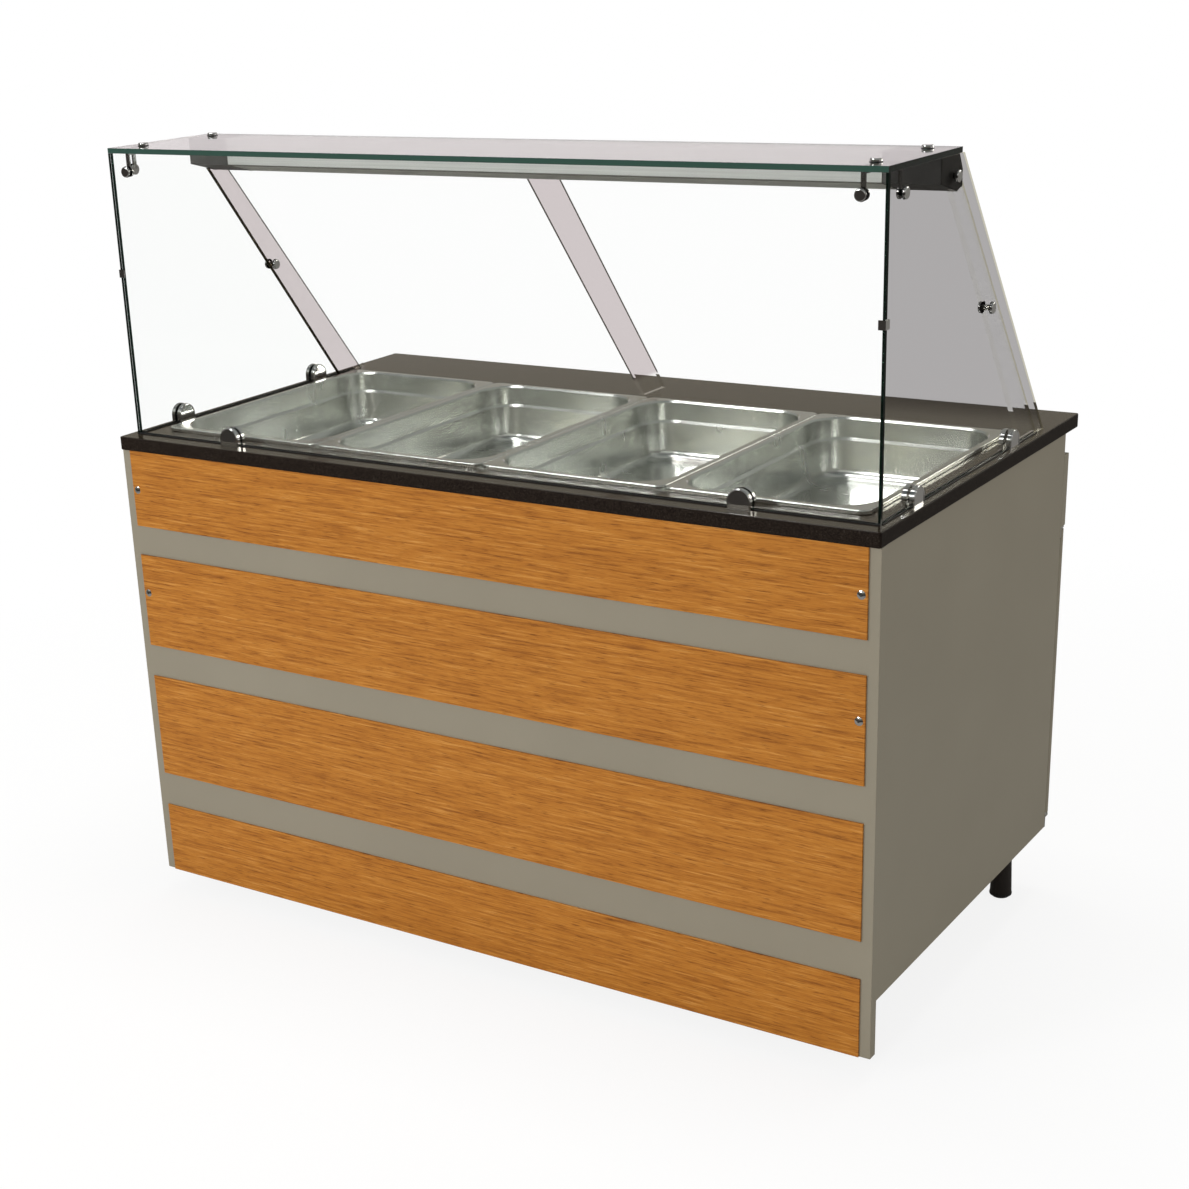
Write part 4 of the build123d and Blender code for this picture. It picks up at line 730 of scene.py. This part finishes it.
def piece(name, finish, body, build):
    """A mesh that build fills: dressed, shaded smooth up to an angle, and riding on a body."""
    work = bmesh.new()
    build(work)
    bmesh.ops.remove_doubles(work, verts=work.verts, dist=MERGE)
    bmesh.ops.recalc_face_normals(work, faces=work.faces)
    mesh = bpy.data.meshes.new(name)
    work.to_mesh(mesh)
    work.free()
    mesh.shade_smooth()
    mesh.set_sharp_from_angle(angle=FINE_ANGLE)
    mesh.materials.append(finish)
    made = bpy.data.objects.new(name, mesh)
    scene.collection.objects.link(made)
    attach(made, body)
    print(name, len(mesh.polygons), "faces on", body)


print("pieces are smooth up to", round(FINE_ANGLE, 2), "radians")

# %% Taking a node apart
WELD = 1e-6


def box_of(spots):
    """The low and the high corner round some points, as plain numbers."""
    return tuple(tuple(pick(spot[axis] for spot in spots) for axis in range(3)) for pick in (min, max))


def solids_of(node):
    """The boxes of a node's separate solids, as pairs of corners in order of X, Y and Z."""
    work = bmesh.new()
    work.from_mesh(nodes[node].data)
    bmesh.ops.remove_doubles(work, verts=work.verts, dist=WELD)
    boxes, left = [], set(work.verts)
    while left:
        reached = [left.pop()]
        for vertex in reached:
            fresh = {edge.other_vert(vertex) for edge in vertex.link_edges} & left
            reached.extend(fresh)
            left -= fresh
        boxes.append(box_of([nodes[node].matrix_world @ vertex.co for vertex in reached]))
    work.free()
    return [(Vector(low), Vector(high)) for low, high in sorted(boxes)]


print("clamp plates", len(solids_of("pane_clamps")))

# %% [markdown]
# ## Clamp rims
# Each pane stands between pairs of half-round plates. A real plate has a raised polished rim that catches
# the light. The rim is a bead along the plate's arch, set in from its edge. A bevel on the plate itself
# would change the drawing's mesh, which stays as it is.

# %% Clamp rims
RIM_ROUND = 0.0009
RIM_INSET = 0.0016
ARCH_STEPS = 20
PANE_NAMES = ("front_pane", "side_pane_left", "side_pane_right")
PANE_MIDDLES = [sum(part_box(pane), Vector()) / 2 for pane in PANE_NAMES]


def clamp_faces():
    """For each clamp plate the foot of its outer face, the face's direction, half width and height."""
    faces = []
    for low, high in solids_of("pane_clamps"):
        spot, reach = (low + high) / 2, (high - low) / 2
        thin = 0 if reach.x < reach.y else 1
        glass = min((pane[thin] for pane in PANE_MIDDLES), key=lambda place: abs(place - spot[thin]))
        look = Vector()
        look[thin] = 1.0 if spot[thin] > glass else -1.0
        foot_spot = spot + look * reach[thin]
        foot_spot.z = low.z
        faces.append((foot_spot, look, reach[1 - thin], high.z - low.z))
    return faces


def clamp_rims(work):
    for foot_spot, look, half, height in clamp_faces():
        across = look.cross(UP)
        radius = half - RIM_INSET
        turns = [pi * step / ARCH_STEPS for step in range(ARCH_STEPS + 1)]
        arch = [(radius * cos(turn), height - half + radius * sin(turn)) for turn in turns]
        outline = [(radius, RIM_ROUND)] + arch + [(-radius, RIM_ROUND)]
        bead(work, [foot_spot + across * u + UP * v for u, v in outline], RIM_ROUND, look)


piece("clamp_rims", finishes["chrome"], "counter", clamp_rims)

# %% [markdown]
# ## Grub screws of the clamps
# The inner plate of each pair carries two small screws that press on the glass. Their heads have a hexagon
# socket. Cutting it out of a head with a boolean would work, but here the profile itself turns down into
# the socket, and the rings of the socket are hexagons.

# %% Grub screws of the clamps
HEAD_HIGH = 0.55
RIM_SHARE, CROWN_SHARE = 0.35, 0.78
SOCKET_SHARE, SOCKET_FLOOR = 0.5, 0.3
GRUB_HEAD = 0.0028
GRUB_SPREAD, GRUB_RISE = 0.0085, 0.011


def socket_screw(work, centre, axis, head):
    """A button head with a hexagon socket."""
    high = HEAD_HIGH * head
    socket, floor_high = SOCKET_SHARE * head, SOCKET_FLOOR * high
    spun(work, [(0.0, 0.0), (head, 0.0), (head, RIM_SHARE * high), (CROWN_SHARE * head, high),
                (socket, high, 6), (socket, floor_high, 6), (0.0, floor_high)], centre, axis)


def clamp_grub_screws(work):
    for foot_spot, look, _, _ in clamp_faces():
        if look.dot(middle - foot_spot) > 0:
            across = look.cross(UP)
            for side in (-1, 1):
                spot = foot_spot + side * GRUB_SPREAD * across + UP * GRUB_RISE
                socket_screw(work, spot, look, GRUB_HEAD)


piece("clamp_grub_screws", finishes["chrome"], "counter", clamp_grub_screws)

# %% [markdown]
# ## Washers under the buttons
# A metal head never touches glass: a thin soft washer lies between, and it shows as a black line round each
# button. A dark ring painted on the glass would vanish from the side. The washer is a short profile spun
# round the button's axis, and it stands out a little from under the head.

# %% Washers under the buttons
BUTTON_HEAD = 0.005
WASHER_LIP, WASHER_HOLE = 0.0006, 0.6
WASHER_EDGE, WASHER_THICK = 0.0006, 0.0011
CLEARLY = 0.001
# Black rubber for the washers and the feet; the same finish makes the painted shade channels at the panes'
# feet.
rubber_and_painted_shade = moulded("rubber_and_painted_shade", (0.010, 0.010, 0.010), 0.6, 0.3)


def washer(work, centre, axis, reach):
    outer, hole = reach + WASHER_LIP, WASHER_HOLE * reach
    spun(work, [(hole, 0.0), (outer, 0.0), (outer, WASHER_EDGE), (reach, WASHER_THICK), (hole, WASHER_THICK)],
         centre, axis)


def button_look(node, low, high):
    """Where a button's head looks, and the head's radius."""
    if node == "shelf_buttons":
        return UP, (high.x - low.x) / 2
    if high.y - low.y < high.z - low.z - CLEARLY:
        return Vector((0.0, -1.0, 0.0)), (high.x - low.x) / 2
    inner = min(abs(low.x), abs(high.x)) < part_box("rib_right")[0].x - CLEARLY
    outward = 1.0 if low.x + high.x > 0 else -1.0
    return Vector((-outward if inner else outward, 0.0, 0.0)), (high.y - low.y) / 2


def button_washers(work):
    for node in ("shelf_buttons", "pane_buttons"):
        for low, high in solids_of(node):
            look, reach = button_look(node, low, high)
            face = (low + high) / 2
            for i in range(3):
                if look[i]:
                    face[i] = high[i] if look[i] > 0 else low[i]
            washer(work, face - look * BUTTON_HEAD, look, reach)


piece("button_washers", rubber_and_painted_shade, "counter", button_washers)

# %% [markdown]
# ## Black channels at the glass
# Each pane stands in a thin black channel along its foot. It is painted shade: a dark thing where the shadow
# under the glass lies. It ends where a clamp takes over, and short of a side pane's rear corner. A curve with
# a bevel could run along the foot, but its section is round. The channel is a U-shaped outline pushed along,
# one length for each stretch between clamps.

# %% Black channels at the glass
CHANNEL_WALL = 0.0011
CHANNEL_HIGH = 0.0017
CHANNEL_FLOOR = 0.00025
CHANNEL_SHORT = 0.030
GLASS_ROOM = 0.00005
BESIDE = 0.02


def channel(start, along_axis, half):
    """The corners of a U that lies round a pane's foot and runs along X (0) or Y (1)."""
    outer, inner = half + CHANNEL_WALL, half + GLASS_ROOM
    section = [(-outer, 0.0), (outer, 0.0), (outer, CHANNEL_HIGH), (inner, CHANNEL_HIGH), (inner, CHANNEL_FLOOR),
               (-inner, CHANNEL_FLOOR), (-inner, CHANNEL_HIGH), (-outer, CHANNEL_HIGH)]
    across = Vector((0.0, 1.0, 0.0)) if along_axis == 0 else Vector((1.0, 0.0, 0.0))
    return [start + across * u + UP * v for u, v in section]


def stretches(first, last, axis, beside):
    """The free lengths of a foot from first to last, between the clamp plates that lie beside it."""
    breaks = sorted({(round(low[axis], 4), round(high[axis], 4)) for low, high in solids_of("pane_clamps")
                     if abs((low + high)[1 - axis] / 2 - beside) < BESIDE})
    edges = [first] + [edge for pair in breaks for edge in pair] + [last]
    return list(zip(edges[::2], edges[1::2]))


# The black channels along the panes' feet are painted shade for the shadow under the glass.
def pane_seals(work):
    for pane, axis in zip(PANE_NAMES, (0, 1, 1)):
        low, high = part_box(pane)
        spot = (low + high) / 2
        half = (high - low)[1 - axis] / 2
        end = high[axis] - (CHANNEL_SHORT if axis else 0.0)
        for first, last in stretches(low[axis], end, axis, spot[1 - axis]):
            start = spot.copy()
            start[axis] = first
            start.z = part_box("pane_clamps")[0].z
            along = Vector()
            along[axis] = last - first
            pushed(work, channel(start, axis, half), along)


piece("pane_seals", rubber_and_painted_shade, "counter", pane_seals)

# %% [markdown]
# ## Beads of the lamp
# The lamp's pale front ends below in a thin dark line, which is painted shade for the shadow gap above the
# diffuser, and a dark joint runs round it where each end cap meets the housing. Dark stripes in the
# housing's material could stand in, but they would be flat. Both are beads here: one straight, and one that
# follows the corners of the housing's section, which are read off its solid.

# %% Beads of the lamp
SHADE_LINE_ROUND = 0.0011
JOINT_ROUND = 0.0007
SHELF_ROOM = 0.001


def lamp_section():
    """Corners of the lamp's section in Y and Z, from the front's top round below to the rear's top."""
    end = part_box("lamp_housing")[1].x
    rim = {(round(vertex.co.y, 4), round(vertex.co.z, 4)) for vertex in nodes["lamp_housing"].data.vertices
           if vertex.co.x > end - SAME_LEVEL}
    front, rear = min(y for y, z in rim), max(y for y, z in rim)
    lowest = min(rim, key=lambda corner: corner[1])
    at_front = [z for y, z in rim if y == front]
    at_rear = [z for y, z in rim if y == rear]
    return [(front, max(z for y, z in rim) - SHELF_ROOM), (front, min(at_front)), lowest,
            (rear, min(at_rear)), (rear, max(at_rear))]


def lamp_beads(work):
    low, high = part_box("lamp_housing")
    section = lamp_section()
    for end in (low.x, high.x):
        bead(work, [Vector((end, y, z)) for y, z in section], JOINT_ROUND, Vector((1.0, 0.0, 0.0)))
    # The straight dark bead along the front's lower corner is painted shade for the shadow gap there.
    y, z = section[1]
    bead(work, [Vector((end, y, z)) for end in (low.x, high.x)], SHADE_LINE_ROUND, Vector((0.0, 1.0, 0.0)))


# One dark finish for the end joints and for the painted shade line under the front.
lamp_joints_and_shade_line = moulded("lamp_joints_and_shade_line", (0.085, 0.085, 0.070), 0.5, 0.2)
piece("lamp_beads", lamp_joints_and_shade_line, "counter", lamp_beads)

# %% [markdown]
# ## Scale and pointer
# The thermostat's scale is printed on the fascia, and its pointer line on the knob. Print is a fraction of
# a millimetre thick here, so that it lies on the surface and not in it; a painted picture would need an
# image. Seen by the person who serves, the knob turns clockwise, so the scale runs that way too: towards -X
# from the top.

# %% Scale and pointer
white_print = moulded("white_print", (0.72, 0.72, 0.70), 0.5, 0.3)
PRINT_THICK = 0.00015
TICK_LONG, TICK_SHORT, TICK_WIDE = 0.005, 0.003, 0.0009
TICK_FROM = 0.0265
SCALE_DEGREES, SCALE_STEPS = 270, 18
POINTER_FROM, POINTER_LONG, POINTER_WIDE = 0.005, 0.010, 0.0016
REARWARD = Vector((0.0, 1.0, 0.0))

knob_low, knob_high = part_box("thermostat_knob")
knob_spot = (knob_low + knob_high) / 2
fascia_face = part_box("control_fascia")[1].y


def printed_bar(work, spot, upward, long, wide):
    """A flat bar that starts at spot and runs upward on a face that looks to the rear."""
    side = upward.cross(REARWARD) * wide / 2
    pushed(work, [spot - side, spot + side, spot + side + upward * long, spot - side + upward * long],
           REARWARD * PRINT_THICK)


def scale_direction(degrees):
    """Where a dial angle points, clockwise from the top for someone behind the counter."""
    return Vector((-sin(radians(degrees)), 0.0, cos(radians(degrees))))


def scale_ticks(work):
    hub = Vector((knob_spot.x, fascia_face, knob_spot.z))
    for step in range(SCALE_STEPS + 1):
        out = scale_direction(SCALE_DEGREES * step / SCALE_STEPS)
        printed_bar(work, hub + out * TICK_FROM, out, TICK_SHORT if step % 2 else TICK_LONG, TICK_WIDE)


def knob_pointer(work):
    start = Vector((knob_spot.x, knob_high.y, knob_spot.z + POINTER_FROM))
    printed_bar(work, start, UP, POINTER_LONG, POINTER_WIDE)


piece("scale_ticks", white_print, "counter", scale_ticks)
piece("knob_pointer", white_print, "knob", knob_pointer)

# %% [markdown]
# ## Numbers of the scale
# Four plain numbers stand outside the ticks. Blender's own text objects give clean figures with a little
# thickness; drawing each figure from bars would look like a pocket calculator. They face the rear, so each
# is turned half round and set upright.

# %% Numbers of the scale
NUMBER_SIZE = 0.0075
NUMBER_RADIUS = 0.0375
NUMBERS = (0, 30, 60, 90)


def printed_number(value, degrees):
    data = bpy.data.curves.new("scale_number_%d" % value, "FONT")
    data.body = str(value)
    data.size = NUMBER_SIZE
    data.extrude = PRINT_THICK
    data.align_x = "CENTER"
    data.align_y = "CENTER"
    data.materials.append(white_print)
    number = bpy.data.objects.new(data.name, data)
    spot = scale_direction(degrees) * NUMBER_RADIUS
    number.location = (knob_spot.x + spot.x, fascia_face, knob_spot.z + spot.z)
    number.rotation_euler = (pi / 2, 0.0, pi)
    scene.collection.objects.link(number)
    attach(number, "counter")
    return number


print([printed_number(value, SCALE_DEGREES * value / NUMBERS[-1]).name for value in NUMBERS])

# %% [markdown]
# ## Marks of the switches
# Above each rocker a bar stands for on, and below it a ring for off. They are print on the fascia like the
# scale, so the bar is the same flat strip, and the ring is a flat profile spun once round. A text object
# with the letters I and O would be less regular.

# %% Marks of the switches
MARK_HIGH, MARK_WIDE, MARK_GAP = 0.006, 0.0012, 0.004


def switch_marks(work):
    outer, inner = MARK_HIGH / 2, MARK_HIGH / 2 - MARK_WIDE
    for low, high in solids_of("switch_frames"):
        spot = Vector(((low.x + high.x) / 2, fascia_face, high.z + MARK_GAP))
        printed_bar(work, spot, UP, MARK_HIGH, MARK_WIDE)
        spot.z = low.z - MARK_GAP - outer
        spun(work, [(inner, 0.0), (outer, 0.0), (outer, PRINT_THICK), (inner, PRINT_THICK)], spot, REARWARD)


piece("switch_marks", white_print, "counter", switch_marks)

# %% [markdown]
# ## Pilot bezels and fascia screws
# Each pilot lamp sits in a bright bezel that slopes in towards the lens, and six screws hold the fascia.
# Both are turned: the bezel is a small profile spun round the lens, and the screw is the socket head of the
# clamps in another size. A torus would be too round for a pressed bezel.

# %% Pilot bezels and fascia screws
BEZEL_REACH, BEZEL_DEEP = 0.0019, 0.0016
BEZEL_SIDE, BEZEL_CREST, BEZEL_LIP = 0.5, 0.5, 0.8
FASCIA_SCREW, FASCIA_SCREW_INSET = 0.0036, 0.014


def pilot_bezels(work):
    for low, high in solids_of("pilot_lamps"):
        hub = Vector(((low.x + high.x) / 2, fascia_face, (low.z + high.z) / 2))
        lens = (high.x - low.x) / 2
        spun(work, [(lens, 0.0), (lens + BEZEL_REACH, 0.0), (lens + BEZEL_REACH, BEZEL_SIDE * BEZEL_DEEP),
                    (lens + BEZEL_CREST * BEZEL_REACH, BEZEL_DEEP), (lens, BEZEL_LIP * BEZEL_DEEP)],
             hub, REARWARD)


def fascia_screws(work):
    low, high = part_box("control_fascia")
    for x in (low.x + FASCIA_SCREW_INSET, 0.0, high.x - FASCIA_SCREW_INSET):
        for z in (low.z + FASCIA_SCREW_INSET, high.z - FASCIA_SCREW_INSET):
            socket_screw(work, Vector((x, high.y, z)), REARWARD, FASCIA_SCREW)


piece("pilot_bezels", finishes["chrome"], "counter", pilot_bezels)
piece("fascia_screws", finishes["zinc_steel"], "counter", fascia_screws)

# %% [markdown]
# ## Fittings of the doors
# A bar handle stands on two small roses, and the lower door pivots are screwed to the base. Roses are
# turned collars, so the lathe does them, and each rides on its door. Thickening the handle's ends instead
# would mean a change to its solid.

# %% Fittings of the doors
ROSE_REACH, ROSE_DEEP = 0.0075, 0.0022
ROSE_SIDE, ROSE_CREST = 0.5, 0.85
PIVOT_SCREW, PIVOT_SCREW_RISE, PIVOT_PLATE = 0.0034, 0.010, 0.003
PIVOT_SCREW_SHARES = (0.25, 0.75)


def handle_roses(node):
    """A builder for the two collars at the ends of a handle."""
    low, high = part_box(node)
    bar = (high.x - low.x) / 2

    def build(work):
        for z in (low.z + bar, high.z - bar):
            spun(work, [(bar, 0.0), (ROSE_REACH, 0.0), (ROSE_REACH, ROSE_SIDE * ROSE_DEEP),
                        (ROSE_CREST * ROSE_REACH, ROSE_DEEP), (bar, ROSE_DEEP)],
                 Vector((low.x + bar, low.y, z)), REARWARD)
    return build


def pivot_screws(work):
    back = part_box("door_pivots")[0].y + PIVOT_PLATE
    for low, high in solids_of("door_pivots"):
        if low.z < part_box("door_left")[0].z:
            for share in PIVOT_SCREW_SHARES:
                spot = Vector((low.x + share * (high.x - low.x), back, low.z + PIVOT_SCREW_RISE))
                socket_screw(work, spot, REARWARD, PIVOT_SCREW)


for name in ("left", "right"):
    piece("handle_roses_" + name, finishes["chrome"], name + "_door",
          handle_roses("door_handle_" + name))
piece("pivot_screws", finishes["zinc_steel"], "counter", pivot_screws)

# %% [markdown]
# ## Fittings of the feet and the valve
# Under each foot's sleeve sits the lock nut that holds its height, and the foot ends in a soft rim. The
# drain valve's lever is held by a nut on a washer, which rides on the lever. A nut could be a six-sided
# cylinder, but it would lack the chamfer at its ends. Spun rings that change from round to hexagon have it.

# %% Fittings of the feet
NUT_HALF, NUT_DEEP = 0.0185, 0.0044
NUT_END, NUT_BEVEL, NUT_GAP = 0.97, 0.0006, 0.0002
STEM = 0.0151
FOOT_RIM = [(0.94, 0.0030), (1.01, 0.0036), (1.03, 0.0058), (1.01, 0.0080), (0.94, 0.0085)]
FOOT_RIM_STEPS = 32


def foot_nuts(work):
    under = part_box("leg_sockets")[0].z - NUT_DEEP - NUT_GAP
    for low, high in solids_of("feet"):
        hub = Vector(((low.x + high.x) / 2, (low.y + high.y) / 2, under))
        spun(work, [(STEM, 0.0), (NUT_END * NUT_HALF, 0.0), (NUT_HALF, NUT_BEVEL, 6),
                    (NUT_HALF, NUT_DEEP - NUT_BEVEL, 6), (NUT_END * NUT_HALF, NUT_DEEP), (STEM, NUT_DEEP)],
             hub, UP)


def foot_rims(work):
    for low, high in solids_of("feet"):
        reach = (high.x - low.x) / 2
        hub = Vector(((low.x + high.x) / 2, (low.y + high.y) / 2, low.z))
        spun(work, [(share * reach, height) for share, height in FOOT_RIM], hub, UP, FOOT_RIM_STEPS)


piece("foot_nuts", finishes["dark_plastic"], "counter", foot_nuts)
piece("foot_rims", rubber_and_painted_shade, "counter", foot_rims)

# %% Nut of the valve lever
LEVER_NUT_HALF, LEVER_NUT_DEEP = 0.0055, 0.0045
LEVER_WASHER, LEVER_WASHER_THICK = 0.0085, 0.0010


def lever_nut(work):
    low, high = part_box("drain_lever")
    valve_low, valve_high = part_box("drain_valve")
    hub = Vector(((valve_low.x + valve_high.x) / 2, high.y, (low.z + high.z) / 2))
    spun(work, [(0.0, 0.0), (LEVER_WASHER, 0.0), (LEVER_WASHER, LEVER_WASHER_THICK),
                (LEVER_NUT_HALF, LEVER_WASHER_THICK, 6), (LEVER_NUT_HALF, LEVER_NUT_DEEP, 6),
                (0.0, LEVER_NUT_DEEP)], hub, REARWARD)


piece("lever_nut", finishes["zinc_steel"], "valve_lever", lever_nut)
